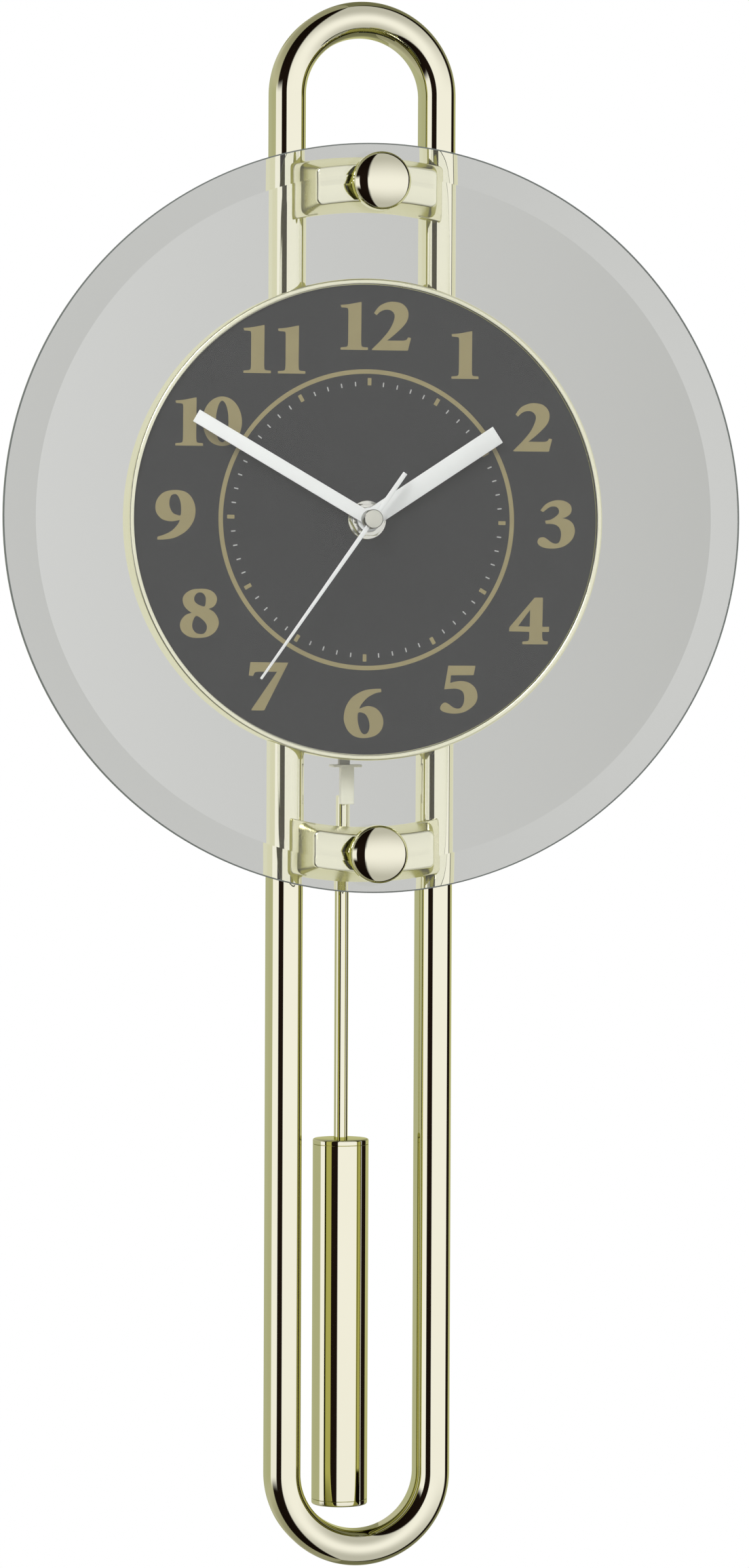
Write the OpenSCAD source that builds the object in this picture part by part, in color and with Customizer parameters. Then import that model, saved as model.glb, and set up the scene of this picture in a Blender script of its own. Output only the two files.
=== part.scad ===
// Pendulum wall clock: a plated loop frame carries a round dial and a clear glass disc.
// Row frame: X right, Y into the wall, Z up. The wall is the plane Y = 0.
// The origin is the centre of the hanging keyhole, on the wall plane.
// Every module works in face view: x right, y up, z out of the wall, about the hand axis.

/* [Frame] */
// Overall height of the loop frame
frame_h = 576.4; // [560:0.1:600]
// Distance between the centrelines of the two upright bars
bar_pitch = 56; // [54:0.5:60]
// Width of a bar
bar_w = 12.8; // [12:0.1:13.4]
// Height of a bar's flat side walls, before the half-round front
bar_flat = 6; // [5:0.1:6.2]
// Distance from the wall to the back of the bars
bar_back = 23.6; // [23.4:0.1:24]
// Height of the hand axis above the middle of the frame
axis_rise = 97.8; // [90:0.1:105]
// Thickness of the bars' walls, which are hollow from behind
bar_wall = 2; // [1.6:0.1:2.4]

/* [Glass and bridges] */
// Diameter of the glass disc
glass_d = 272; // [268:1:276]
// Thickness of the glass disc
glass_t = 4.5; // [4:0.1:5]
// Width of the bevel ground round the glass edge
bevel_w = 11.5; // [8:0.5:14]
// Thickness of the glass at its bevelled edge
edge_t = 2.2; // [1.5:0.1:3]
// Radius about the hand axis of the clamping knobs
knob_orbit = 121.6; // [121:0.1:122.2]
// Diameter of the clamping knobs
knob_d = 21; // [19:0.5:22]
// Radial width of the bridges where they carry the glass
bridge_w = 13; // [12:0.5:14]

/* [Dial] */
// Outer diameter of the dial housing
housing_d = 176.4; // [174:0.2:180]
// Diameter of the printed dial plate
dial_d = 172; // [170:0.2:173]
// Distance from the wall to the dial's face
dial_z = 38.5; // [38.4:0.1:39]

/* [Hands] */
// Length of the hour hand
hour_l = 57.4; // [50:0.2:62]
// Length of the minute hand
minute_l = 74.2; // [68:0.2:78]
// Length of the second hand, without its tail
second_l = 71.4; // [66:0.2:76]
// Hour hand's angle past twelve
hour_angle = 56.6; // [0:0.1:360]
// Minute hand's angle past twelve
minute_angle = 300; // [0:0.1:360]
// Second hand's angle past twelve
second_angle = 215.2; // [0:0.1:360]

/* [Pendulum] */
// Diameter of the bob
bob_d = 20.8; // [18:0.1:21]
// Length of the bob
bob_l = 136.4; // [120:0.2:140]
// Depth of the bob's lower end below the hand axis
bob_drop = 365.8; // [360:0.2:368]
// Sideways place of the pendulum
pend_x = -3.6; // [-5:0.1:0]
// Distance from the wall to the pendulum's centreline
pend_z = 11.8; // [11.5:0.1:12]

/* [Hidden] */
$fn = 96;
keyhole_rise = 52;          // keyhole above the hand axis
bar_x = bar_pitch / 2;
bar_r = bar_w / 2;
bar_front = bar_back + bar_flat + bar_r;
frame_top = frame_h / 2 - axis_rise;
frame_low = -frame_h / 2 - axis_rise;
straight_top = frame_top - bar_x - bar_r;
straight_low = frame_low + bar_x + bar_r;
plate_t = 1.6;
plate_back = bar_back - plate_t;
glass_back = 55.65;
glass_front = glass_back + glass_t;
glass_r = glass_d / 2;
washer_t = 0.4;
bridge_top = glass_back - washer_t;
bridge_foot = bar_front - 3.6;
knob_r = knob_d / 2;
knob_z = 66.4;               // where a knob is widest
knob_dome = 4.4;             // height of its flattened dome
stud_r = 2;
stud_low = bridge_top - 12;
stud_top = bridge_top + 10;
run = 0.08;                 // radial clearance of a running fit
web_back = 36.2;
web_front = dial_z - 0.5;
rim_front = 40;
skirt_back = 24.4;
housing_r = housing_d / 2;
bush_r = 4;
bush_end = 41.6;
case_front = plate_back - 1;    // a 1 mm rubber gasket lies between plate and movement
case_back = 5;
case_split = 13;
case_half = 28;
case_wall = 1.4;
box_half = 36;
box_top = 66;
box_low = -70;
box_wall = 2;
box_floor = 1.2;
box_screws_at = [[31, 36], [-31, 36], [31, -20], [-31, -20]];
hanger_t = 1.5;
cap_front = 51.9;
hour_z = 42.4;
minute_z = 44.1;
second_z = 50.2;
hand_t = 0.5;
sec_r = 0.5;
minute_tube_r = 1.5;
hour_tube_r = 2.5;

// Gear train: module, teeth and pivots, all in face view about the hand axis
sec_m = 0.25;
rotor_teeth = 8;
inter_teeth = 48;
inter_pinion = 12;
sec_teeth = 60;
sec_pinion = 8;
third_teeth = 60;
third_pinion = 8;
centre_teeth = 64;
cannon_teeth = 12;
motion_teeth = 36;
motion_pinion = 10;
hour_teeth = 40;
knob_teeth = 24;
inter_c = sec_m * (inter_pinion + sec_teeth) / 2;
rotor_c = sec_m * (rotor_teeth + inter_teeth) / 2;
third_c = sec_m * (sec_pinion + third_teeth) / 2;
centre_m = 2 * third_c / (third_pinion + centre_teeth);
motion_m = 0.3;
motion_c = motion_m * (cannon_teeth + motion_teeth) / 2;
hour_m = 2 * motion_c / (motion_pinion + hour_teeth);
knob_c = motion_m * (knob_teeth + motion_teeth) / 2;
inter_dir = 40;
rotor_dir = 100;
third_dir = 150;
motion_dir = -20;
knob_dir = 10;
wheel_low = 8.6;             // back of the second wheel, over the back plate's bearings
wheel_t = 0.8;
function polar(r, a) = [r * cos(a), r * sin(a)];
inter_at = polar(inter_c, inter_dir);
rotor_at = inter_at + polar(rotor_c, rotor_dir);
third_at = polar(third_c, third_dir);
motion_at = polar(motion_c, motion_dir);
knob_at = motion_at + polar(knob_c, knob_dir);

bridge_screw_x = 23.8;
bridge_screw_y = knob_orbit - 2;
screw_top = 38.2;
plate_screw_y = 54;
post_x = 14;
post_y = 46;
pivot_y = -38;              // the pendulum's pivot below the hand axis
hook_top = -90;
hook_low = -104.7;
hook_front = 21.4;
hook_t = 4.4;
hook_w = 4.9;
rod_r = 2.55;
rod_top = -101.6;
hook_pin_y = -103.6;
magnet_y = -56.6;
pcase_front = 20.2;
pcase_top = -case_half;
pcase_low = -62;
lever_back = 12;
lever_t = 3;
bob_top = -bob_drop + bob_l;

// Face view to row frame
module face() { translate([0, 0, -keyhole_rise]) rotate([90, 0, 0]) children(); }
module at(x, y, z) { translate([x, y, z]) children(); }
module post(r, h) { cylinder(r = r, h = h); }
module tube(ro, ri, h) {
    difference() {
        cylinder(r = ro, h = h);
        translate([0, 0, -1]) cylinder(r = ri, h = h + 2);
    }
}
module slab(x0, x1, y0, y1, h) { translate([x0, y0, 0]) cube([x1 - x0, y1 - y0, h]); }
module round_rect(x0, x1, y0, y1, r, h) {
    slab(x0 + r, x1 - r, y0, y1, h);
    slab(x0, x1, y0 + r, y1 - r, h);
    for (x = [x0 + r, x1 - r], y = [y0 + r, y1 - r]) translate([x, y, 0]) cylinder(r = r, h = h);
}
module screw(r, len, head_r, head_h) {
    cylinder(r = r, h = len);
    translate([0, 0, -head_h]) difference() {
        cylinder(r = head_r, h = head_h);
        translate([-head_r * 0.7, -0.3, -0.4]) cube([head_r * 1.4, 0.6, 0.9]);
        translate([-0.3, -head_r * 0.7, -0.4]) cube([0.6, head_r * 1.4, 0.9]);
    }
}
// A gear with slim teeth; a tooth points along +x before turn
module gear(n, m, h, turn = 0) {
    rp = m * n / 2;
    pitch = 360 / n;
    rotate([0, 0, turn]) linear_extrude(height = h) polygon([for (i = [0:n - 1], k = [0:3])
        let (r = k == 0 || k == 3 ? rp - 1.15 * m : rp + 0.72 * m,
             a = i * pitch + [-0.22, -0.08, 0.08, 0.22][k] * pitch)
        [r * cos(a), r * sin(a)]]);
}

// Bar section: flat sides and a half-round front, centred on x = 0 and standing on y = 0
module bar_section(r, wall_h) {
    union() {
        translate([-r, 0]) square([2 * r, wall_h]);
        intersection() {
            translate([0, wall_h]) circle(r = r);
            translate([-r, wall_h - 0.01]) square([2 * r, r + 0.02]);
        }
    }
}
module half_loop(r, wall_h) {
    rotate_extrude(angle = 180) translate([bar_x, 0]) bar_section(r, wall_h);
}
module loop_body(r, wall_h) {
    for (s = [-1, 1]) translate([s * bar_x, straight_top, 0]) rotate([90, 0, 0])
        linear_extrude(height = straight_top - straight_low) bar_section(r, wall_h);
    translate([0, straight_top, 0]) half_loop(r, wall_h);
    translate([0, straight_low, 0]) rotate([0, 0, 180]) half_loop(r, wall_h);
}
module frame_loop() {
    screw_y = [plate_screw_y, -plate_screw_y];
    color("palegoldenrod") face() difference() {
        at(0, 0, bar_back) loop_body(bar_r, bar_flat);
        difference() {
            at(0, 0, bar_back - 1) loop_body(bar_r - bar_wall, bar_flat + 1);
            for (x = [-bar_x, bar_x], y = screw_y)
                at(0, 0, bar_back - 2) slab(x - 5, x + 5, y - 5, y + 5, 20);
            for (x = [-bar_x, bar_x], y = [-bridge_screw_y, bridge_screw_y])
                at(0, 0, bar_back - 2) slab(x - 5, x + 5, y - 6, y + 6, 20);
        }
        for (x = [-bar_x, bar_x], y = screw_y) at(x, y, bar_back - 1) post(1.3, 9.2);
        for (x = [-bridge_screw_x, bridge_screw_x], y = [-bridge_screw_y, bridge_screw_y]) {
            at(x, y, bar_back - 1) post(1.3, 20);
            at(x, y, bar_back - 1) post(2.05, 3);
        }
    }
}

// A bridge is an arched bar about the hand axis, with sloping walls and feet on both bars
module bridge(s) {
    w0 = bridge_w / 2 + 2.4;    // half the radial width at the feet
    w1 = bridge_w / 2;
    sweep = 32;
    foot_x = bar_x - 0.6;
    top_x = bar_x - 7;
    color("khaki") face() difference() {
        intersection() {
            rotate([0, 0, s * 90 - sweep / 2]) rotate_extrude(angle = sweep, $fn = 180)
                polygon([[knob_orbit - w0, bridge_foot], [knob_orbit + w0, bridge_foot],
                    [knob_orbit + w0, bridge_foot + 4], [knob_orbit + w1 + 0.6, bridge_top - 0.8],
                    [knob_orbit + w1 - 0.4, bridge_top], [knob_orbit - w1 + 0.4, bridge_top],
                    [knob_orbit - w1 - 0.6, bridge_top - 0.8], [knob_orbit - w0, bridge_foot + 4]]);
            translate([0, s * knob_orbit + 20, 0]) rotate([90, 0, 0]) linear_extrude(height = 40)
                polygon([[-foot_x, bridge_foot], [foot_x, bridge_foot],
                    [foot_x, bridge_foot + 4.4], [foot_x - 3, bridge_foot + 6.4],
                    [top_x + 1.4, bridge_top - 1], [top_x, bridge_top], [-top_x, bridge_top],
                    [-top_x - 1.4, bridge_top - 1], [-foot_x + 3, bridge_foot + 6.4],
                    [-foot_x, bridge_foot + 4.4]]);
        }
        at(0, 0, bar_back - 1) loop_body(bar_r + 0.02, bar_flat + 1);
        at(0, s * knob_orbit, stud_low) post(stud_r, 20);
        at(0, s * knob_orbit, bridge_foot - 1) slab(-15, 15, -4.5, 4.5, 6);
        for (x = [-bridge_screw_x, bridge_screw_x])
            at(x, s * bridge_screw_y, bar_back) post(1.2, screw_top - bar_back + 0.3);
    }
}
module upper_bridge() bridge(1);
module lower_bridge() bridge(-1);
module bridge_screws() {
    head = 1.7;
    color("silver") face()
        for (x = [-bridge_screw_x, bridge_screw_x], y = [-bridge_screw_y, bridge_screw_y])
            at(x, y, bar_back + 2) screw(1.2, screw_top - bar_back - 2, 2, head);
}
module glass_studs() {
    color("gold") face() for (s = [-1, 1]) at(0, s * knob_orbit, stud_low) post(stud_r, stud_top - stud_low);
}
module glass_disc() {
    color([0.8, 0.85, 0.82, 0.5]) face() difference() {
        rotate_extrude($fn = 240) polygon([[0, glass_back], [glass_r - 0.4, glass_back],
            [glass_r, glass_back + 0.4], [glass_r, glass_back + edge_t - 0.3],
            [glass_r - 0.4, glass_back + edge_t], [glass_r - bevel_w, glass_front],
            [0, glass_front]]);
        for (s = [-1, 1]) at(0, s * knob_orbit, 0) post(3.2, 100);
    }
}
module glass_washers() {
    color("ivory") face() for (s = [-1, 1], z = [bridge_top, glass_front])
        at(0, s * knob_orbit, z) tube(5.6, stud_r + 0.2, washer_t);
}
// A knob is a flattened dome on a short straight wall, which narrows to its seat on the glass
module knob(s) {
    seat = glass_front + washer_t;
    color("khaki") face() at(0, s * knob_orbit, 0) difference() {
        rotate_extrude($fn = 96) polygon([[0, seat], [knob_r - 1.6, seat], [knob_r, knob_z - 3.6],
            for (a = [0:6:84]) [knob_r * cos(a), knob_z + knob_dome * sin(a)],
            [0, knob_z + knob_dome]]);
        at(0, 0, seat - 1) post(stud_r, stud_top - seat + 1.6);
    }
}
module upper_knob() knob(1);
module lower_knob() knob(-1);

module bar_notch() {
    translate([0, 0, skirt_back - 5]) rotate([90, 0, 0]) linear_extrude(height = 20)
        bar_section(bar_r + 0.1, bar_back + bar_flat - skirt_back + 5);
}
module dial_housing() {
    inner = dial_d / 2 + 0.2;
    color("palegoldenrod") face() difference() {
        union() {
            rotate_extrude($fn = 240) polygon([[bush_r + 0.3, web_back],
                [housing_r - 1.8, web_back], [housing_r - 1.8, skirt_back],
                [housing_r, skirt_back], [housing_r, rim_front - 0.9],
                [housing_r - 0.9, rim_front], [inner + 0.5, rim_front],
                [inner, rim_front - 0.5], [inner, web_front], [bush_r + 0.3, web_front]]);
            for (x = [-post_x, post_x], y = [-post_y, post_y])
                at(x, y, bar_back) post(3.4, web_back - bar_back + 0.2);
        }
        for (x = [-bar_x, bar_x]) {
            at(x, 96, 0) bar_notch();
            at(x, -76, 0) bar_notch();
        }
        for (x = [-post_x, post_x], y = [-post_y, post_y]) at(x, y, bar_back - 1) post(1.2, 11);
    }
}
module dial_plate() {
    color("dimgray") face() difference() {
        at(0, 0, web_front) post(dial_d / 2, dial_z - web_front, $fn = 240);
        at(0, 0, web_front - 1) post(bush_r + 0.3, 4);
    }
}
module housing_screws() {
    color("silver") face() for (x = [-post_x, post_x], y = [-post_y, post_y])
        at(x, y, plate_back) screw(1.2, 10, 2.6, 1.5);
}
module mounting_plate() {
    color("lightgray") face() difference() {
        at(0, 0, plate_back) round_rect(-34, 34, -60, 62, 5, plate_t);
        at(0, 0, plate_back - 1) post(bush_r + 0.2, 4);
        for (x = [-bar_x, bar_x], y = [-plate_screw_y, plate_screw_y])
            at(x, y, plate_back - 1) post(1.6, 4);
        for (x = [-post_x, post_x], y = [-post_y, post_y]) at(x, y, plate_back - 1) post(1.5, 4);
        for (p = box_screws_at) at(p.x, p.y, plate_back - 1) post(1.2, 4);
    }
}
module plate_screws() {
    color("silver") face() for (x = [-bar_x, bar_x], y = [-plate_screw_y, plate_screw_y])
        at(x, y, plate_back) screw(1.3, 8, 2.8, 1.6);
}
module movement_gasket() {
    color("black") face() difference() {
        at(0, 0, case_front) post(11, 1);
        at(0, 0, case_front - 1) post(bush_r + 0.2, 4);
    }
}
module centre_washer() {
    color("gainsboro") face() at(0, 0, dial_z) tube(7.1, bush_r + 0.1, 0.6);
}
module hex_nut() {
    color("silver") face() difference() {
        at(0, 0, dial_z + 0.6) intersection() {
            cylinder(r = 6.64, h = 2.2, $fn = 6);
            rotate_extrude() polygon([[0, 0], [6.7, 0], [6.7, 1.8], [6.1, 2.2], [0, 2.2]]);
        }
        at(0, 0, dial_z) post(bush_r + 0.03, 5);
    }
}

// The movement: a two-part case, open inside, with the long bush on its front
module movement_front_case() {
    color([0.15, 0.15, 0.16]) face() difference() {
        union() {
            difference() {
                at(0, 0, case_split) round_rect(-case_half, case_half, -case_half, case_half, 3,
                    case_front - case_split);
                at(0, 0, case_split - 1) slab(-case_half + case_wall, case_half - case_wall,
                    -case_half + case_wall, case_half - case_wall, case_front - case_split);
            }
            at(0, 0, case_front - 1) post(bush_r, bush_end - case_front + 1);
            for (x = [-1, 1]) at(x * 25, 25, case_split) slab(-2.2, 2.2, -2.2, 2.2,
                case_front - case_split - 0.5);
        }
        at(0, 0, case_split) post(hour_tube_r + run, 40);
        for (x = [-1, 1]) at(x * 25, 25, case_split - 1) post(0.9, 6);
        for (p = [third_at, motion_at]) at(p.x, p.y, case_front - 1.7) post(0.6, 1);
    }
}
module movement_back_case() {
    color([0.13, 0.13, 0.14]) face() difference() {
        at(0, 0, case_back) round_rect(-case_half, case_half, -case_half, case_half, 3,
            case_split - case_back);
        at(0, 0, case_back + case_wall) slab(-case_half + case_wall, case_half - case_wall,
            -case_half + case_wall, case_half - case_wall, 20);
        at(0, 0, case_back - 1) slab(-case_half + case_wall, case_half - case_wall,
            -26, -10.6, 20);
        for (x = [-1, 1]) at(x * 25, 25, case_back - 1) post(1.3, 20);
        at(knob_at.x, knob_at.y, case_back - 1) post(2.4 + run, 20);
        for (p = [[0, 0], inter_at, rotor_at, third_at])
            at(p.x, p.y, case_back + 0.6) post(0.5 + run, 2);
    }
}
module case_screws() {
    color("silver") face() for (x = [-1, 1])
        at(x * 25, 25, case_back) screw(0.9, 11, 2, 1.2);
}
module circuit_board() {
    color("seagreen") face() difference() {
        at(0, 0, 18.6) slab(-26.2, -9.4, -9.6, 22, 1);
        at(-22, 8, 17) post(1.2, 4);
    }
}
module quartz_crystal() {
    color("silver") face() at(-22.5, -6.5, 16.85) rotate([-90, 0, 0]) {
        cylinder(r = 1.5, h = 8);
        translate([0, 0, -0.5]) cylinder(r = 1.7, h = 0.5);
    }
}
module control_chip() {
    color("black") face() {
        at(0, 0, 17.6) slab(-18, -13.6, -5.6, -0.4, 1);
        for (y = [-4.8, -3.6, -2.4, -1.2]) at(0, 0, 18.3) {
            slab(-13.6, -12.4, y - 0.25, y + 0.25, 0.3);
            slab(-19.2, -18, y - 0.25, y + 0.25, 0.3);
        }
    }
}
// The stepping motor's coil on its iron core, with the stator round the rotor
module step_coil() {
    color("peru") face() at(-6.4, 20.6, 11) rotate([0, 90, 0]) {
        difference() {
            cylinder(r = 3, h = 14);
            translate([-1.1, -1.1, -1]) cube([2.2, 2.2, 16]);
        }
        for (x = [-1.2, 14]) translate([0, 0, x]) difference() {
            cylinder(r = 3.6, h = 1.2);
            translate([-1.1, -1.1, -1]) cube([2.2, 2.2, 3.4]);
        }
    }
}
module stator() {
    color("slategray") face() difference() {
        union() {
            at(0, 0, 10) slab(-12, 12, 19.6, 21.6, 2);
            for (x = [-12, 9.8]) at(0, 0, 10) slab(x, x + 2.2, 8.4, 21.6, 2);
            at(0, 0, 10) slab(-12, 12, rotor_at.y - 3.6, rotor_at.y + 3.2, 2);
        }
        at(rotor_at.x, rotor_at.y, 5) post(2.9, 10);
    }
}
module battery() {
    color("darkslategray") face() at(-25.1, -18.2, 12.3) rotate([0, 90, 0]) {
        cylinder(r = 7.1, h = 49.2);
        cylinder(r = 2.7, h = 50.2);
    }
}
module battery_contacts() {
    color("silver") face() {
        at(-25.7, -18.2, 8.6) slab(-0.5, 0.5, -4, 4, 7.4);
        at(25.7, -18.2, 8.6) slab(-0.5, 0.5, -4, 4, 7.4);
    }
}

// Wheels stand on arbors along z; each gear is turned so that teeth meet gaps
module arbor(p, r, z0, z1) { at(p.x, p.y, z0) post(r, z1 - z0); }
module rotor() {
    color("dimgray") face() {
        at(rotor_at.x, rotor_at.y, 9.6) post(2.4, 2.6);
        at(rotor_at.x, rotor_at.y, 12.2) gear(rotor_teeth, sec_m, 1.8, rotor_dir + 180);
        arbor(rotor_at, 0.5, 6, 15);
    }
}
module intermediate_wheel() {
    color("white") face() {
        at(inter_at.x, inter_at.y, 12.6) gear(inter_teeth, sec_m, wheel_t, rotor_dir + 180 / inter_teeth);
        at(inter_at.x, inter_at.y, 8.4) gear(inter_pinion, sec_m, 4.4, inter_dir + 180);
        arbor(inter_at, 0.5, 6, 14);
    }
}
module second_wheel() {
    color("white") face() {
        at(0, 0, wheel_low) gear(sec_teeth, sec_m, wheel_t, inter_dir + 180 / sec_teeth);
        at(0, 0, wheel_low + 0.6) gear(sec_pinion, sec_m, 4, third_dir);
        arbor([0, 0], sec_r, 6, second_z - 0.2);
    }
}
module third_wheel() {
    color("white") face() {
        at(third_at.x, third_at.y, 12.3) gear(third_teeth, sec_m, wheel_t,
            third_dir + 180 + 180 / third_teeth);
        at(third_at.x, third_at.y, 13) gear(third_pinion, centre_m, 3, third_dir + 180);
        arbor(third_at, 0.5, 6, case_front - 0.9);
    }
}
module centre_wheel() {
    color("white") face() difference() {
        union() {
            at(0, 0, 14.4) gear(centre_teeth, centre_m, wheel_t, third_dir + 180 / centre_teeth);
            at(0, 0, 15) gear(cannon_teeth, motion_m, 2, motion_dir);
            at(0, 0, 15) post(minute_tube_r, minute_z + hand_t + 0.3 - 15);
        }
        at(0, 0, 10) post(sec_r + 0.06, 60);
    }
}
module motion_wheel() {
    color("white") face() {
        at(motion_at.x, motion_at.y, 15.8) gear(motion_teeth, motion_m, wheel_t,
            motion_dir + 180 + 180 / motion_teeth);
        at(motion_at.x, motion_at.y, 16.4) gear(motion_pinion, hour_m, 2.4, motion_dir + 180);
        arbor(motion_at, 0.5, 15.4, case_front - 0.9);
    }
}
module hour_wheel() {
    color("white") face() difference() {
        union() {
            at(0, 0, 17.6) gear(hour_teeth, hour_m, wheel_t, motion_dir + 180 / hour_teeth);
            at(0, 0, 17.6) post(hour_tube_r, hour_z + hand_t + 0.2 - 17.6);
        }
        at(0, 0, 15) post(minute_tube_r + run, 60);
    }
}
module setting_knob() {
    color("dimgray") face() {
        at(knob_at.x, knob_at.y, 15.8) gear(knob_teeth, motion_m, wheel_t,
            knob_dir + 180);
        arbor(knob_at, 2.4, 4.4, 15.9);
        at(knob_at.x, knob_at.y, 2) gear(18, 0.5, 2.5);
    }
}
module blade(len, w0, w1, tail = 0) {
    linear_extrude(height = hand_t) polygon([[-w0 / 2, -tail], [w0 / 2, -tail],
        [w1 / 2, len], [-w1 / 2, len]]);
}
module hour_hand() {
    color("white") face() rotate([0, 0, -hour_angle]) difference() {
        union() {
            at(0, 0, hour_z) blade(hour_l, 6.9, 6.9);
            at(0, 0, hour_z) post(4.4, hand_t);
        }
        at(0, 0, hour_z - 1) post(hour_tube_r + 0.01, 4);
    }
}
module minute_hand() {
    color("white") face() rotate([0, 0, -minute_angle]) difference() {
        union() {
            at(0, 0, minute_z) blade(minute_l, 4.9, 4.9);
            at(0, 0, minute_z) post(3.4, hand_t);
            at(0, 0, minute_z - 0.7) post(2.6, 0.8);
        }
        at(0, 0, minute_z - 2) post(minute_tube_r + 0.01, 6);
    }
}
module second_hand() {
    color("white") face() rotate([0, 0, -second_angle]) at(0, 0, second_z) {
        blade(second_l, 1.7, 0.9);
        blade(0, 1.7, 1.7, 20.6);
    }
}
module second_hand_cap() {
    color("silver") face() difference() {
        rotate_extrude() polygon([[sec_r, minute_z + hand_t + 0.6], [3.2, minute_z + hand_t + 0.6],
            [3.5, minute_z + hand_t + 0.9], [3.5, cap_front - 0.3], [3.2, cap_front], [0, cap_front],
            [0, second_z - 0.2], [sec_r, second_z - 0.2]]);
        rotate([0, 0, -second_angle]) at(0, 0, second_z) slab(-0.95, 0.95, -4, 4, hand_t);
    }
}

// The pendulum's drive unit hangs under the movement
module pendulum_case() {
    depth = pcase_front - case_back;
    color([0.14, 0.14, 0.15]) face() difference() {
        at(0, 0, case_back) round_rect(-20, 20, pcase_low, pcase_top, 2, depth);
        at(0, 0, case_back + case_wall) slab(-18.6, 18.6, pcase_low + case_wall,
            pcase_top - case_wall, depth - 2 * case_wall);
        at(0, 0, case_back + 5) slab(pend_x - 12, pend_x + 12, pcase_low - 2, pcase_low + 3, 7);
        at(pend_x, pivot_y, case_back - 1) post(0.8, 30);
    }
}
module pendulum_coil() {
    color("peru") face() at(pend_x, magnet_y, pcase_front - case_wall - 3.2) tube(3.8, 1.2, 3.2);
}
module pivot_pin() {
    color("silver") face() at(pend_x, pivot_y, case_back) post(0.8, pcase_front - case_back);
}
module pendulum_lever() {
    color("whitesmoke") face() difference() {
        union() {
            at(pend_x, pivot_y, lever_back) post(2.6, lever_t);
            at(pend_x, magnet_y, lever_back) post(4, lever_t);
            at(pend_x, 0, lever_back) slab(-2, 2, hook_top, pivot_y, lever_t);
        }
        at(pend_x, pivot_y, 10) post(0.8 + run, 8);
        at(pend_x, magnet_y, lever_back + 1.2) post(2.4, 4);
    }
}
module pendulum_magnet() {
    color("gray") face() at(pend_x, magnet_y, lever_back + 1.2) post(2.4, lever_t - 1.2);
}
// The hook is a plain tab under a short flange, with a pin behind it for the rod
module pendulum_hook() {
    back = hook_front - hook_t;
    color("ivory") face() at(pend_x, 0, 0) {
        at(0, 0, back) round_rect(-hook_w / 2, hook_w / 2, hook_low, hook_top - 0.5, 0.5, hook_t);
        at(0, 0, lever_back) slab(-5.4, 5.4, hook_top - 1, hook_top, hook_front - lever_back);
        at(0, hook_pin_y, pend_z - 1) post(0.8, back - pend_z + 1.4);
    }
}
module pendulum_rod() {
    color("palegoldenrod") face() difference() {
        at(pend_x, bob_top - 6, pend_z) rotate([-90, 0, 0]) post(rod_r, rod_top - bob_top + 6);
        at(pend_x, hook_pin_y, pend_z - 1.1) post(0.9, 10);
    }
}
module bob_tube() {
    color("palegoldenrod") face() at(pend_x, -bob_drop + 2, pend_z) rotate([-90, 0, 0])
        tube(bob_d / 2, bob_d / 2 - 0.8, bob_l - 4);
}
module bob_cap(r, hole) {
    rotate_extrude() polygon([[hole, 0], [r - 0.7, 0], [r, 0.7], [r, 2], [r - 0.8, 2],
        [r - 0.8, 6], [hole, 6]]);
}
module bob_caps() {
    r = bob_d / 2;
    color("khaki") face() at(pend_x, 0, pend_z) {
        at(0, bob_top, 0) rotate([90, 0, 0]) bob_cap(r, rod_r + 0.03);
        at(0, -bob_drop, 0) rotate([-90, 0, 0]) bob_cap(r, 0);
    }
}
module bob_weight() {
    color("dimgray") face() at(pend_x, -bob_drop + 6, pend_z) rotate([-90, 0, 0])
        post(bob_d / 2 - 1.2, 50);
}

// The moulded back box stands on the wall round the movement; its back is open
module back_box() {
    color([0.12, 0.12, 0.13]) face() difference() {
        round_rect(-box_half, box_half, box_low, box_top, 6, plate_back);
        at(0, 0, -1) round_rect(-box_half + box_wall, box_half - box_wall, box_low + box_wall,
            box_top - box_wall, 4, plate_back - box_floor + 1);
        at(0, 0, plate_back - 3) slab(-case_half - 0.6, case_half + 0.6, pcase_low - 0.6,
            case_half + 0.6, 6);
        for (x = [-bar_x, bar_x], y = [-plate_screw_y, plate_screw_y])
            at(x, y, plate_back - 3) post(3.2, 6);
        for (x = [-post_x, post_x]) at(x, post_y, plate_back - 3) post(3.2, 6);
        for (p = box_screws_at) at(p.x, p.y, plate_back - 3) post(1.2, 6);
        at(0, 0, 6) slab(pend_x - 14, pend_x + 14, box_low - 1, box_low + 3, 14);
        for (s = [-1, 1]) at(s * (box_half - 3), keyhole_rise, 10) rotate([0, s * 90, 0])
            post(1.2, 6);
    }
}
module box_screws() {
    color("silver") face() for (p = box_screws_at)
        at(p.x, p.y, plate_back - box_floor) screw(1.2, box_floor + plate_t, 2, 1.4);
}
module hanger_plate() {
    half = box_half - box_wall;
    low = keyhole_rise - 11;
    high = box_top - box_wall - 4;
    leg = plate_back - box_floor;
    color("silver") face() difference() {
        union() {
            slab(-half, half, low, high, hanger_t);
            slab(-half, -half + hanger_t, low, high, leg);
            slab(half - hanger_t, half, low, high, leg);
        }
        at(0, keyhole_rise, -1) post(4.5, 4);
        at(0, keyhole_rise, -1) slab(-2, 2, 0, 7, 4);
        at(0, keyhole_rise + 7, -1) post(2, 4);
        for (s = [-1, 1]) at(s * (half - 3), keyhole_rise, 10) rotate([0, s * 90, 0]) post(1.2, 6);
    }
}
module hanger_screws() {
    color("silver") face() for (s = [-1, 1])
        at(s * box_half, keyhole_rise, 10) rotate([0, -s * 90, 0]) screw(1.2, 4.4, 2.2, 1.2);
}

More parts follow.
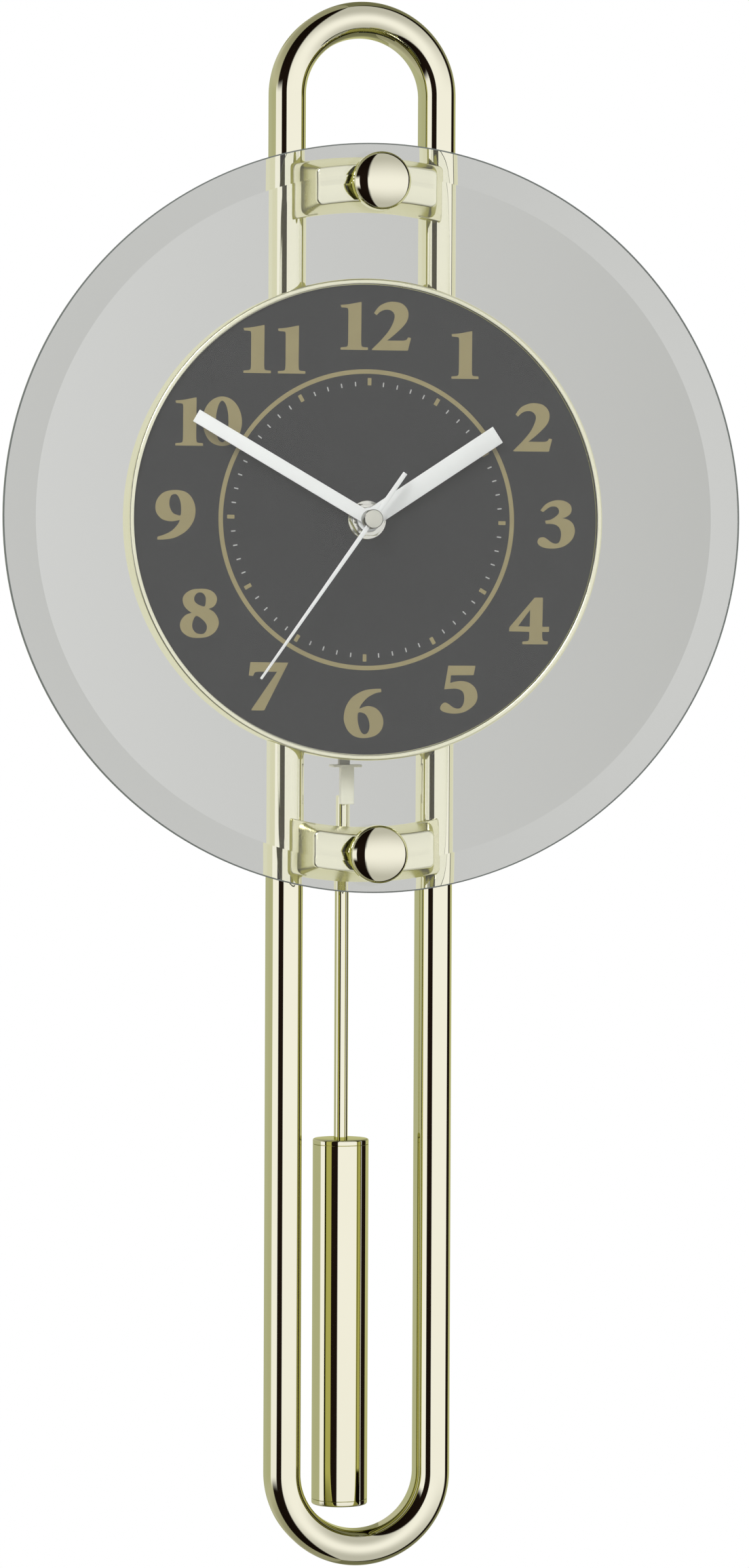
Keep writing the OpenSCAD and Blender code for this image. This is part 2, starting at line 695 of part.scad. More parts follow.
frame_loop();
upper_bridge();
lower_bridge();
bridge_screws();
glass_studs();
glass_disc();
glass_washers();
upper_knob();
lower_knob();
dial_housing();
dial_plate();
housing_screws();
mounting_plate();
plate_screws();
movement_gasket();
centre_washer();
hex_nut();
movement_front_case();
movement_back_case();
case_screws();
circuit_board();
quartz_crystal();
control_chip();
step_coil();
stator();
battery();
battery_contacts();
rotor();
intermediate_wheel();
second_wheel();
third_wheel();
centre_wheel();
motion_wheel();
hour_wheel();
setting_knob();
hour_hand();
minute_hand();
second_hand();
second_hand_cap();
pendulum_case();
pendulum_coil();
pivot_pin();
pendulum_lever();
pendulum_magnet();
pendulum_hook();
pendulum_rod();
bob_tube();
bob_caps();
bob_weight();
back_box();
box_screws();
hanger_plate();
hanger_screws();
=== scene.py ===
import math
import bpy
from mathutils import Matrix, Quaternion, Vector


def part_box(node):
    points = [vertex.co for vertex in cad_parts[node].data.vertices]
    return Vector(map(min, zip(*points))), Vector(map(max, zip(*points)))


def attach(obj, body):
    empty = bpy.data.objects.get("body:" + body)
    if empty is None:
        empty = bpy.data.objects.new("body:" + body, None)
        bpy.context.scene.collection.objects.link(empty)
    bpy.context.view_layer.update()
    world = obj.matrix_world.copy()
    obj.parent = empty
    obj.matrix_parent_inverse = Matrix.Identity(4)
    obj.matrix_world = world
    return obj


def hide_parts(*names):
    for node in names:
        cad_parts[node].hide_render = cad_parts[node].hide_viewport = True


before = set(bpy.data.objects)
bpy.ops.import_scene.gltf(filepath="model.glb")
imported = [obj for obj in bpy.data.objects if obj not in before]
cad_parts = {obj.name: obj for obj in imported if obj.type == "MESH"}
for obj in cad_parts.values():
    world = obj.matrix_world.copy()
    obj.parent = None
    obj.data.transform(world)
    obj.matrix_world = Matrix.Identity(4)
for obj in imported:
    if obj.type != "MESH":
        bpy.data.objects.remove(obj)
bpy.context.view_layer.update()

mm = 0.001
dialLow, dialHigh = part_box("dial_plate")
axisZ = (dialLow.z + dialHigh.z) / 2  # height of the hand axis


# x right and y up from the hand axis, depth out of the wall, all in millimetres
def faceAt(x, y, depth):
    return Vector((x * mm, -depth * mm, axisZ + y * mm))


handAxis = faceAt(0, 0, 0)
samePoint = 1e-7  # metres within which two drawn points are one

# Small helpers for modelling with operators

def deselectAll():
    if bpy.context.object and bpy.context.object.mode != "OBJECT":
        bpy.ops.object.mode_set(mode="OBJECT")
    bpy.ops.object.select_all(action="DESELECT")


def nameNew(name):
    piece = bpy.context.active_object
    piece.name = name
    piece.data.name = name
    return piece


def makeActive(piece):
    deselectAll()
    piece.select_set(True)
    bpy.context.view_layer.objects.active = piece


def applyPlace(piece):
    makeActive(piece)
    bpy.ops.object.transform_apply(location=True, rotation=True, scale=True)


def applyModifier(piece, kind, **values):
    makeActive(piece)
    modifier = piece.modifiers.new(kind.title(), kind)
    for key, value in values.items():
        setattr(modifier, key, value)
    bpy.ops.object.modifier_apply(modifier=modifier.name)


def shadeSmooth(piece, angle=35):
    makeActive(piece)
    bpy.ops.object.shade_smooth_by_angle(angle=math.radians(angle))


# In edit mode, selects the edges whose two ends pass the test
def selectEdges(piece, test):
    bpy.ops.mesh.select_all(action="DESELECT")
    bpy.ops.object.mode_set(mode="OBJECT")
    verts = piece.data.vertices
    for edge in piece.data.edges:
        edge.select = test(verts[edge.vertices[0]].co, verts[edge.vertices[1]].co)
    bpy.ops.object.mode_set(mode="EDIT")


def selectVerts(piece, test):
    bpy.ops.mesh.select_all(action="DESELECT")
    bpy.ops.object.mode_set(mode="OBJECT")
    for vert in piece.data.vertices:
        vert.select = test(vert.co)
    bpy.ops.object.mode_set(mode="EDIT")


# A polyline drawn by extruding one vertex from point to point; stays in edit mode
def drawLine(name, points, closed=False):
    deselectAll()
    bpy.ops.mesh.primitive_plane_add(size=mm, location=(0, 0, 0))
    piece = nameNew(name)
    bpy.ops.object.mode_set(mode="EDIT")
    bpy.ops.mesh.select_mode(type="VERT")
    bpy.ops.mesh.select_all(action="SELECT")
    bpy.ops.mesh.merge(type="CENTER")
    bpy.ops.transform.translate(value=points[0])
    for start, end in zip(points, points[1:]):
        pushOut(Vector(end) - Vector(start))
    if closed:
        first, last = Vector(points[0]), Vector(points[-1])
        selectVerts(piece, lambda co: min((co - first).length, (co - last).length) < samePoint)
        bpy.ops.mesh.edge_face_add()
    bpy.ops.mesh.select_all(action="SELECT")
    return piece


def closeShell():
    bpy.ops.mesh.select_all(action="SELECT")
    bpy.ops.mesh.remove_doubles(threshold=10 * samePoint)
    bpy.ops.mesh.normals_make_consistent(inside=False)
    bpy.ops.object.mode_set(mode="OBJECT")


# In edit mode, a face across the drawn outline, all of it selected
def fillLoop():
    bpy.ops.mesh.edge_face_add()
    bpy.ops.mesh.select_all(action="SELECT")


# In edit mode, extrudes what is selected and moves it on by a step
def pushOut(step):
    bpy.ops.mesh.extrude_region_move(TRANSFORM_OT_translate={"value": step})


# A piece turned about a line out of the wall: profile is [(radius, depth)]
def spunAbout(name, profile, steps, closed=False, centre=handAxis):
    points = [centre + Vector((r * mm, -a * mm, 0)) for r, a in profile]
    piece = drawLine(name, points, closed)
    bpy.ops.mesh.spin(steps=steps, angle=2 * math.pi, center=centre, axis=(0, 1, 0))
    closeShell()
    return piece


def quarterTurn(steps):
    return [math.pi / 2 * i / steps for i in range(steps + 1)]


def roundEdges(piece, width, segments, angle):
    applyModifier(piece, "BEVEL", width=width * mm, segments=segments, limit_method="ANGLE",
                  angle_limit=math.radians(angle), harden_normals=False)


def place(piece, body, slot, *nodes):
    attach(piece, body)
    if nodes:
        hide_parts(*nodes)


# A box about a face point: size across, up and deep, turned clockwise
def block(name, middle, size, turn=0):
    deselectAll()
    across, up, deep = size
    bpy.ops.mesh.primitive_cube_add(size=1, location=faceAt(*middle), rotation=(0, turn, 0),
                                    scale=(across * mm, deep * mm, up * mm))
    piece = nameNew(name)
    applyPlace(piece)
    return piece


def joinPieces(piece, *others):
    if not others:
        return
    deselectAll()
    for other in others:
        other.select_set(True)
    piece.select_set(True)
    bpy.context.view_layer.objects.active = piece
    bpy.ops.object.join()


def paint(piece, *materials):
    piece.data.materials.clear()
    for material in materials:
        piece.data.materials.append(material)


# The second material for faces farther from the hand axis than the radius
def paintOuter(piece, radius):
    for face in piece.data.polygons:
        if math.hypot(face.center.x, face.center.z - axisZ) > radius * mm:
            face.material_index = 1


# Shared shader effects: how their noise and the reach of their masks are set
effectLook = {"marks": dict(Detail=4.0, Roughness=0.6), "marksReach": dict(From_Min=0.35, From_Max=0.7),
              "tintShare": 0.35, "grain": dict(Detail=3.0, Roughness=0.65),
              "grainReach": dict(From_Min=0.3, From_Max=0.7), "grainDepth": 0.02 * mm}


def newGroup(name, inputs, outputs):
    group = bpy.data.node_groups.new(name, "ShaderNodeTree")
    for label, kind, value in inputs:
        socket = group.interface.new_socket(name=label, in_out="INPUT", socket_type=kind)
        socket.default_value = value
    for label, kind in outputs:
        group.interface.new_socket(name=label, in_out="OUTPUT", socket_type=kind)
    start = group.nodes.new("NodeGroupInput")
    end = group.nodes.new("NodeGroupOutput")
    return group, start, end


def addNode(tree, kind, **values):
    node = tree.nodes.new(kind)
    for key, value in values.items():
        if key in node.bl_rna.properties:
            setattr(node, key, value)
        else:
            setInputs(node, **{key: value})
    return node


def setInputs(node, **values):
    for key, value in values.items():
        node.inputs[key.replace("_", " ")].default_value = value


# Faint smudges and dust: a mask that wanders between 0 and 1
def buildHandling():
    group, start, end = newGroup("handlingMarks",
        [("Scale", "NodeSocketFloat", 40.0), ("Amount", "NodeSocketFloat", 0.03),
         ("Roughness", "NodeSocketFloat", 0.1), ("Color", "NodeSocketColor", (1, 1, 1, 1)),
         ("Tint", "NodeSocketColor", (0.9, 0.9, 0.9, 1))],
        [("Color", "NodeSocketColor"), ("Roughness", "NodeSocketFloat")])
    link = group.links.new
    coords = addNode(group, "ShaderNodeTexCoord")
    broad = addNode(group, "ShaderNodeTexNoise", **effectLook["marks"])
    link(coords.outputs["Object"], broad.inputs["Vector"])
    link(start.outputs["Scale"], broad.inputs["Scale"])
    reach = addNode(group, "ShaderNodeMapRange", **effectLook["marksReach"])
    link(broad.outputs["Fac"], reach.inputs["Value"])
    rough = addNode(group, "ShaderNodeMath", operation="MULTIPLY_ADD")
    link(reach.outputs["Result"], rough.inputs[0])
    link(start.outputs["Amount"], rough.inputs[1])
    link(start.outputs["Roughness"], rough.inputs[2])
    mix = addNode(group, "ShaderNodeMix", data_type="RGBA")
    share = addNode(group, "ShaderNodeMath", operation="MULTIPLY")
    share.inputs[1].default_value = effectLook["tintShare"]
    link(reach.outputs["Result"], share.inputs[0])
    link(share.outputs[0], mix.inputs["Factor"])
    link(start.outputs["Color"], mix.inputs["A"])
    link(start.outputs["Tint"], mix.inputs["B"])
    link(mix.outputs["Result"], end.inputs["Color"])
    link(rough.outputs[0], end.inputs["Roughness"])
    return group


# Grain stretched along an axis, as a height and a tone mask
def buildGrain():
    group, start, end = newGroup("surfaceGrain",
        [("Stretch", "NodeSocketVector", (1, 1, 1)), ("Scale", "NodeSocketFloat", 800.0)],
        [("Height", "NodeSocketFloat"), ("Mask", "NodeSocketFloat")])
    link = group.links.new
    coords = addNode(group, "ShaderNodeTexCoord")
    mapping = addNode(group, "ShaderNodeMapping")
    link(coords.outputs["Object"], mapping.inputs["Vector"])
    link(start.outputs["Stretch"], mapping.inputs["Scale"])
    noise = addNode(group, "ShaderNodeTexNoise", **effectLook["grain"])
    link(mapping.outputs["Vector"], noise.inputs["Vector"])
    link(start.outputs["Scale"], noise.inputs["Scale"])
    sharp = addNode(group, "ShaderNodeMapRange", **effectLook["grainReach"])
    link(noise.outputs["Fac"], sharp.inputs["Value"])
    link(noise.outputs["Fac"], end.inputs["Height"])
    link(sharp.outputs["Result"], end.inputs["Mask"])
    return group


handlingMarks = buildHandling()
surfaceGrain = buildGrain()


def newMaterial(name):
    material = bpy.data.materials.new(name)
    material.use_nodes = True
    tree = material.node_tree
    shader = tree.nodes["Principled BSDF"]
    return material, tree, shader


def smudge(tree, shader, color, tint, roughness, amount, scale):
    marks = addNode(tree, "ShaderNodeGroup", node_tree=handlingMarks)
    setInputs(marks, Scale=scale, Amount=amount, Roughness=roughness, Color=(*color, 1),
              Tint=(*tint, 1))
    tree.links.new(marks.outputs["Color"], shader.inputs["Base Color"])
    tree.links.new(marks.outputs["Roughness"], shader.inputs["Roughness"])


def grain(tree, shader, stretch, scale, strength):
    fine = addNode(tree, "ShaderNodeGroup", node_tree=surfaceGrain)
    setInputs(fine, Stretch=stretch, Scale=scale)
    bump = addNode(tree, "ShaderNodeBump")
    setInputs(bump, Strength=strength, Distance=effectLook["grainDepth"])
    tree.links.new(fine.outputs["Height"], bump.inputs["Height"])
    tree.links.new(bump.outputs["Normal"], shader.inputs["Normal"])


# A finish from its values; those that it doesn't give stay plain
def finish(name, look):
    material, tree, shader = newMaterial(name)
    setInputs(shader, Metallic=look.get("metallic", 0.0), IOR=1.5,
              Specular_IOR_Level=look.get("specular", 0.5), Coat_Weight=look.get("coat", 0.0),
              Coat_Roughness=look.get("coatRough", 0.1))
    smudge(tree, shader, look["color"], look.get("tint", tuple(c * 0.8 for c in look["color"])),
           look["rough"], look.get("amount", 0.1), look.get("scale", 200.0))
    if "grain" in look:
        grain(tree, shader, *look["grain"])
    return material


finishes = {
    "goldPlate": dict(color=(0.885, 0.865, 0.725), tint=(0.86, 0.835, 0.67), metallic=1.0,
                      rough=0.012, amount=0.01, scale=18.0),
    "satinGold": dict(color=(0.83, 0.81, 0.66), tint=(0.78, 0.75, 0.58), metallic=1.0, rough=0.30,
                      amount=0.08, scale=55.0, grain=((1, 1, 1), 1400.0, 0.35)),
    "softGold": dict(color=(0.80, 0.775, 0.57), tint=(0.76, 0.73, 0.51), metallic=1.0, rough=0.24,
                     amount=0.05, scale=40.0),
    "housingGold": dict(color=(0.88, 0.86, 0.70), tint=(0.83, 0.81, 0.62), metallic=1.0,
                        rough=0.22, amount=0.06, scale=30.0),
    "dialPrint": dict(color=(0.025, 0.025, 0.027), tint=(0.021, 0.021, 0.023), rough=0.7,
                      amount=0.08, scale=90.0, specular=0.12),
    "figureGold": dict(color=(0.30, 0.25, 0.118), tint=(0.26, 0.215, 0.098), rough=0.5,
                       specular=0.25, grain=((1, 1, 1), 1800.0, 0.4)),
    "tickWhite": dict(color=(0.45, 0.45, 0.44), rough=0.6),
    "handWhite": dict(color=(0.84, 0.84, 0.84), tint=(0.80, 0.80, 0.80), rough=0.4, scale=120.0,
                      grain=((1, 1, 1), 1500.0, 0.08)),
    "capSteel": dict(color=(0.68, 0.67, 0.62), tint=(0.6, 0.59, 0.54), metallic=1.0, rough=0.28,
                     scale=300.0, grain=((1, 1, 1), 2500.0, 0.3)),
    # the cap's side: the same steel painted dark as shade
    "capSideShade": dict(color=(0.24, 0.235, 0.21), metallic=1.0, rough=0.25),
    # painted shade: dark gold for the groove round the bridge panel
    "grooveShade": dict(color=(0.26, 0.25, 0.18), metallic=1.0, rough=0.3),
    "nickel": dict(color=(0.78, 0.77, 0.74), metallic=1.0, rough=0.12, amount=0.08, scale=150.0),
    "steelScrew": dict(color=(0.55, 0.55, 0.54), metallic=1.0, rough=0.3, amount=0.15),
    "zincSheet": dict(color=(0.5, 0.51, 0.52), metallic=1.0, rough=0.38, amount=0.2, scale=70.0,
                      grain=((1, 1, 0.04), 900.0, 0.25)),
    "blackPlastic": dict(color=(0.022, 0.022, 0.024), tint=(0.03, 0.03, 0.032), rough=0.5,
                         amount=0.12, scale=45.0, grain=((1, 1, 1), 1500.0, 0.5)),
    "movementPlastic": dict(color=(0.016, 0.016, 0.018), tint=(0.024, 0.024, 0.026), rough=0.42,
                            amount=0.12, scale=60.0, grain=((1, 1, 1), 2200.0, 0.4)),
    "creamPlastic": dict(color=(0.94, 0.925, 0.81), tint=(0.90, 0.88, 0.75), rough=0.34,
                         amount=0.08, scale=90.0, grain=((1, 1, 1), 1800.0, 0.12)),
    "wheelPlastic": dict(color=(0.70, 0.69, 0.62), rough=0.45),
    "blackRubber": dict(color=(0.014, 0.014, 0.014), rough=0.75, scale=80.0,
                        grain=((1, 1, 1), 1500.0, 0.5)),
    "greenBoard": dict(color=(0.02, 0.11, 0.045), tint=(0.012, 0.08, 0.03), rough=0.32,
                       scale=300.0, grain=((1, 1, 1), 900.0, 0.3)),
    "chipBlack": dict(color=(0.012, 0.012, 0.012), rough=0.6, scale=300.0),
    "copperWire": dict(color=(0.62, 0.27, 0.11), tint=(0.5, 0.2, 0.08), metallic=1.0, rough=0.3,
                       scale=400.0, grain=((22, 1, 1), 500.0, 0.9)),
    "coreIron": dict(color=(0.3, 0.31, 0.33), metallic=1.0, rough=0.42, amount=0.15, scale=150.0),
    "batteryWrap": dict(color=(0.03, 0.034, 0.04), tint=(0.04, 0.045, 0.05), rough=0.25,
                        scale=90.0, coat=0.5, coatRough=0.12),
    "magnetGrey": dict(color=(0.09, 0.09, 0.095), metallic=0.6, rough=0.5),
    "weightIron": dict(color=(0.13, 0.13, 0.135), metallic=0.9, rough=0.55, amount=0.2,
                       scale=90.0, grain=((1, 1, 1), 600.0, 0.5)),
    # the glass rim: a ground edge, painted dark grey-green as shade for the dark outline at the rim
    "groundEdgeShade": dict(color=(0.20, 0.22, 0.21), tint=(0.17, 0.19, 0.18), rough=0.35, scale=90.0),
    "nylonClear": dict(color=(0.72, 0.72, 0.66), rough=0.35),
}
looks = {name: finish(name, look) for name, look in finishes.items()}


clearLook = {"color": (0.965, 0.975, 0.965), "ior": 1.46, "specular": 0.15,
             "shadow": (0.93, 0.94, 0.93)}


# Clear glass that lets the lamps' light through
def buildGlass():
    v = clearLook
    material, tree, shader = newMaterial("clearGlass")
    setInputs(shader, Base_Color=(*v["color"], 1), Transmission_Weight=1.0, IOR=v["ior"],
              Specular_IOR_Level=v["specular"], Roughness=0.0)
    link, out = tree.links.new, tree.nodes["Material Output"]
    clear = addNode(tree, "ShaderNodeBsdfTransparent")
    setInputs(clear, Color=(*v["shadow"], 1))
    path = addNode(tree, "ShaderNodeLightPath")
    mix = addNode(tree, "ShaderNodeMixShader")
    link(path.outputs["Is Shadow Ray"], mix.inputs[0])
    link(shader.outputs[0], mix.inputs[1])
    link(clear.outputs[0], mix.inputs[2])
    link(mix.outputs[0], out.inputs["Surface"])
    return material


looks["clearGlass"] = buildGlass()
print("finishes ready:", len(looks))

# Finishes of the CAD nodes that stay as they are
nodeLooks = {
    "steelScrew": ["bridge_screws", "glass_studs", "housing_screws", "plate_screws", "case_screws",
                   "box_screws", "hanger_screws", "pivot_pin"],
    "zincSheet": ["mounting_plate", "hanger_plate"],
    "nylonClear": ["glass_washers"],
    "blackRubber": ["movement_gasket"],
    "movementPlastic": ["movement_front_case", "movement_back_case", "pendulum_case", "setting_knob"],
    "blackPlastic": ["back_box"],
    "greenBoard": ["circuit_board"],
    "nickel": ["quartz_crystal", "battery_contacts"],
    "chipBlack": ["control_chip"],
    "copperWire": ["step_coil", "pendulum_coil"],
    "coreIron": ["stator"],
    "batteryWrap": ["battery"],
    "magnetGrey": ["rotor", "pendulum_magnet"],
    "wheelPlastic": ["intermediate_wheel", "second_wheel", "third_wheel", "centre_wheel",
                     "motion_wheel", "hour_wheel", "pendulum_lever"],
    "weightIron": ["bob_weight"],
}
for look, names in nodeLooks.items():
    for name in names:
        paint(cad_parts[name], looks[look])
print("CAD finishes set")


# Frame: a D-shaped bar drawn, extruded and spun round both arches, then given its wall
frameLook = {"barX": 28, "barRadius": 6.4, "back": 23.6, "flat": 6, "topArch": 156.0,
             "lowArch": -351.6, "wall": 2.0, "archSteps": 96, "noseSteps": 24, "seatSteps": 32,
             "bossAt": (-119.6, -54, 54, 119.6), "bossDepth": 28.2, "boss": (10, 11, 9)}


# A bar's open outline from its inner foot over the nose to its outer foot
def barSection(x, radius, back, spring, steps, y):
    arc = [(x + radius * math.cos(a), spring + radius * math.sin(a))
           for a in (math.pi * (1 - i / steps) for i in range(steps + 1))]
    return [faceAt(px, y, pz) for px, pz in [(x - radius, back), *arc, (x + radius, back)]]


def buildFrame():
    v = frameLook
    spring = v["back"] + v["flat"]
    rise = (v["topArch"] - v["lowArch"]) * mm
    loop = drawLine("frameLoop", barSection(v["barX"], v["barRadius"], v["back"], spring,
                                            v["noseSteps"], v["lowArch"]))
    pushOut((0, 0, rise))
    bpy.ops.mesh.spin(steps=v["archSteps"], angle=math.pi, center=faceAt(0, v["topArch"], spring),
                      axis=(0, 1, 0))
    pushOut((0, 0, -rise))
    bpy.ops.mesh.spin(steps=v["archSteps"], angle=math.pi, center=faceAt(0, v["lowArch"], spring),
                      axis=(0, 1, 0))
    closeShell()
    applyModifier(loop, "SOLIDIFY", thickness=v["wall"] * mm, offset=-1, use_even_offset=True)
    for x in (-v["barX"], v["barX"]):
        for y in v["bossAt"]:
            joinPieces(loop, block("screwBoss", (x, y, v["bossDepth"]), v["boss"]))
    shadeSmooth(loop, 40)
    paint(loop, looks["goldPlate"])
    place(loop, "clock", "gold_plate", "frame_loop")


buildFrame()
print("frame built")

# Bridges: an arched body through stacked outlines, its feet spun about the hand axis
bridgeLook = {"orbit": 121.6, "halfFoot": 8.9, "foot": 32.4, "footTop": 38.8, "footX": 27.4,
              "footTurn": (9.5, 15), "footCorner": 2.2, "footRound": 1.7, "seatReach": 25,
              "outlineSteps": (16, 8),
              # depth, reach to the side, half width and corner of each level of the body
              "levels": [(32.4, 26.1, 8.9, 2.6), (36.4, 25.4, 8.9, 2.6), (54.2, 22.5, 6.8, 2.6),
                         (54.75, 22.33, 6.63, 2.43), (55.08, 22.08, 6.38, 2.18),
                         (55.25, 21.6, 5.9, 1.7), (55.249, 20.9, 5.2, 1.4),
                         (54.95, 20.45, 4.75, 1.25)]}


# In edit mode, cuts off what lies beyond a plane and closes the cut
def cutAway(point, normal):
    bpy.ops.mesh.select_all(action="SELECT")
    bpy.ops.mesh.bisect(plane_co=point, plane_no=normal, clear_outer=True, use_fill=True)


# A solid bar shape from low to high, for cutting seats that fit the bars
def barCutter(x, low, high, grow=0.02, under=1.0):
    v = frameLook
    cutter = drawLine("barCutter", barSection(x, v["barRadius"] + grow, v["back"] - under,
                                              v["back"] + v["flat"], v["seatSteps"], low),
                      closed=True)
    fillLoop()
    pushOut((0, 0, (high - low) * mm))
    closeShell()
    return cutter


# A solid pin along the depth, for cutting round holes
def pinCutter(x, y, radius, low, high):
    deselectAll()
    bpy.ops.mesh.primitive_cylinder_add(vertices=48, radius=radius * mm, depth=(high - low) * mm,
                                        location=faceAt(x, y, (low + high) / 2),
                                        rotation=(math.radians(90), 0, 0))
    cutter = nameNew("pinCutter")
    applyPlace(cutter)
    return cutter


def cutWith(piece, *cutters, operation="DIFFERENCE"):
    for cutter in cutters:
        applyModifier(piece, "BOOLEAN", object=cutter, operation=operation, solver="EXACT")
        bpy.data.objects.remove(cutter, do_unlink=True)


# A band round the hand axis with upright ends and rounded corners
def archOutline(reach, half, corner):
    orbit = bridgeLook["orbit"]
    inner, outer, across = orbit - half, orbit + half, reach - corner
    outerY = math.sqrt((outer - corner) ** 2 - across ** 2)
    innerY = math.sqrt((inner + corner) ** 2 - across ** 2)
    outerTurn, innerTurn = math.atan2(across, outerY), math.atan2(across, innerY)

    def arc(x, y, radius, start, end, steps):
        return [(x + radius * math.sin(start + (end - start) * i / steps),
                 y + radius * math.cos(start + (end - start) * i / steps)) for i in range(steps)]
    long, short = bridgeLook["outlineSteps"]
    side = [*arc(0, 0, outer, 0, outerTurn, long),
            *arc(across, outerY, corner, outerTurn, math.pi / 2, short),
            *arc(across, innerY, corner, math.pi / 2, math.pi + innerTurn, short),
            *arc(0, 0, inner, innerTurn, 0, long), (0, inner)]
    return side + [(-x, y) for x, y in side[-2:0:-1]]


# A solid through outlines at growing depths, joined loop to loop
def stacked(name, levels, sign):
    loops = []
    for depth, reach, half, corner in levels:
        loops.append(drawLine(name, [faceAt(x, sign * y, depth) for x, y in
                                     archOutline(reach, half, corner)], closed=True))
        bpy.ops.object.mode_set(mode="OBJECT")
    joinPieces(loops[-1], *loops[:-1])
    solid = nameNew(name)
    depths = [faceAt(0, 0, level[0]).y for level in levels]
    bpy.ops.object.mode_set(mode="EDIT")
    bpy.ops.mesh.select_mode(type="VERT")
    for low, high in zip(depths, depths[1:]):
        selectVerts(solid, lambda co: min(abs(co.y - low), abs(co.y - high)) < 2 * samePoint)
        bpy.ops.mesh.bridge_edge_loops()
    for end in (depths[0], depths[-1]):
        selectVerts(solid, lambda co: abs(co.y - end) < 2 * samePoint)
        bpy.ops.mesh.edge_face_add()
    bpy.ops.mesh.select_all(action="SELECT")
    bpy.ops.mesh.normals_make_consistent(inside=False)
    bpy.ops.object.mode_set(mode="OBJECT")
    return solid


# An outline of (radial, depth) round the hand axis, from one angle to another
def spunStrip(name, outline, orbit, sign, low, high, steps):
    start = math.radians(low)
    points = [faceAt((orbit + r) * math.sin(start), sign * (orbit + r) * math.cos(start), z)
              for r, z in outline]
    strip = drawLine(name, points, closed=True)
    fillLoop()
    bpy.ops.mesh.spin(steps=steps, angle=-sign * math.radians(high - low),
                      center=handAxis, axis=(0, 1, 0))
    closeShell()
    makeActive(strip)
    bpy.ops.object.mode_set(mode="EDIT")
    return strip


def buildBridge(name, node, sign):
    v = bridgeLook
    orbit, wide = v["orbit"], v["halfFoot"]
    body = stacked(name, v["levels"], sign)

    def seat(part, side):
        cutWith(part, barCutter(side * frameLook["barX"], sign * orbit - v["seatReach"],
                                sign * orbit + v["seatReach"]))
    seat(body, -1)
    seat(body, 1)
    feet = []
    near, far = v["footTurn"]
    for side in (-1, 1):
        foot = spunStrip(name + "Foot", [(-wide, v["foot"]), (wide, v["foot"]),
                                         (wide, v["footTop"]), (-wide, v["footTop"])],
                         orbit, sign, *((near, far) if side > 0 else (-far, -near)), 8)
        cutAway(faceAt(side * v["footX"], 0, v["foot"]), Vector((side, 0, 0)))
        selectEdges(foot, lambda a, b: abs(a.y - b.y) > 4 * mm and
                    min(abs(a.x), abs(b.x)) > (v["footX"] - 0.01) * mm)
        bpy.ops.mesh.bevel(offset=v["footCorner"] * mm, segments=6, affect="EDGES")
        closeShell()
        roundEdges(foot, v["footRound"], 5, 40)
        seat(foot, side)
        feet.append(foot)
    joinPieces(body, *feet)
    paint(body, looks["softGold"], looks["goldPlate"], looks["satinGold"], looks["grooveShade"])
    shoulder, ridge, panel = (faceAt(0, 0, v["levels"][k][0]).y for k in (2, -2, -1))
    groove = (ridge + panel) / 2
    onPanel, onGroove = 0.001 * mm, 0.005 * mm
    for face in body.data.polygons:
        if face.center.y < shoulder:
            face.material_index = 2 if abs(face.center.y - panel) < onPanel else 1
        # The groove's faces get the dark gold of painted shade
        if abs(face.center.y - groove) < onGroove:
            face.material_index = 3
    shadeSmooth(body, 35)
    place(body, "clock", "satin_gold", node)


buildBridge("upperBridge", "upper_bridge", 1)
buildBridge("lowerBridge", "lower_bridge", -1)
print("bridges built")

# Glass disc, its ground bevel and its two holes; washers and studs stay from the CAD
glassLook = {"radius": 136, "back": 55.65, "front": 60.15, "bevel": 11.5, "edge": 2.2,
             "rim": 0.35, "washer": 0.4, "hole": 3.2, "holePast": 2,
             # softened edges as insets from the rim and heights over the back and the lip
             "backEdge": [(0.5, 0), (0.15, 0.12), (0, 0.45)],
             "lipEdge": [(0, -0.4), (0.15, -0.1), (0.5, 0.02)],
             "knobOrbit": 121.6, "knobRadius": 10.5, "knobDepth": 66.4, "knobDome": 4.4,
             "knobWall": 3.6, "knobFoot": 8.9, "domeSteps": 56}


def buildGlassDisc():
    v = glassLook
    r, back, lip = v["radius"], v["back"], v["back"] + v["edge"]
    profile = [(0, back), *[(r - inset, back + up) for inset, up in v["backEdge"]],
               *[(r - inset, lip + up) for inset, up in v["lipEdge"]],
               (r - v["bevel"], v["front"]), (0, v["front"])]
    disc = spunAbout("glassDisc", profile, 256)
    cutWith(disc, *[pinCutter(0, sign * v["knobOrbit"], v["hole"], back - v["holePast"],
                              v["front"] + v["holePast"]) for sign in (-1, 1)])
    shadeSmooth(disc, 3)
    # The rim faces get the ground edge with its painted shade
    paint(disc, looks["clearGlass"], looks["groundEdgeShade"])
    paintOuter(disc, r - v["rim"])
    place(disc, "clock", "clear_glass", "glass_disc")


def buildKnob(name, node, sign):
    v = glassLook
    seat = v["front"] + v["washer"]
    radius, widest, foot = v["knobRadius"], v["knobDepth"], v["knobFoot"]
    dome = [(radius * math.cos(a), widest + v["knobDome"] * math.sin(a))
            for a in quarterTurn(v["domeSteps"])[:-1]]
    wall = widest - v["knobWall"]
    profile = [(0, seat), (foot - 0.2, seat), (foot, seat + 0.12), (radius - 0.1, wall - 0.16),
               (radius, wall + 0.1), *dome, (0, widest + v["knobDome"])]
    knob = spunAbout(name, profile, 128, centre=faceAt(0, sign * v["knobOrbit"], 0))
    shadeSmooth(knob, 40)
    paint(knob, looks["goldPlate"])
    place(knob, "clock", "gold_plate", node)


buildGlassDisc()
buildKnob("upperKnob", "upper_knob", 1)
buildKnob("lowerKnob", "lower_knob", -1)
print("glass and knobs built")

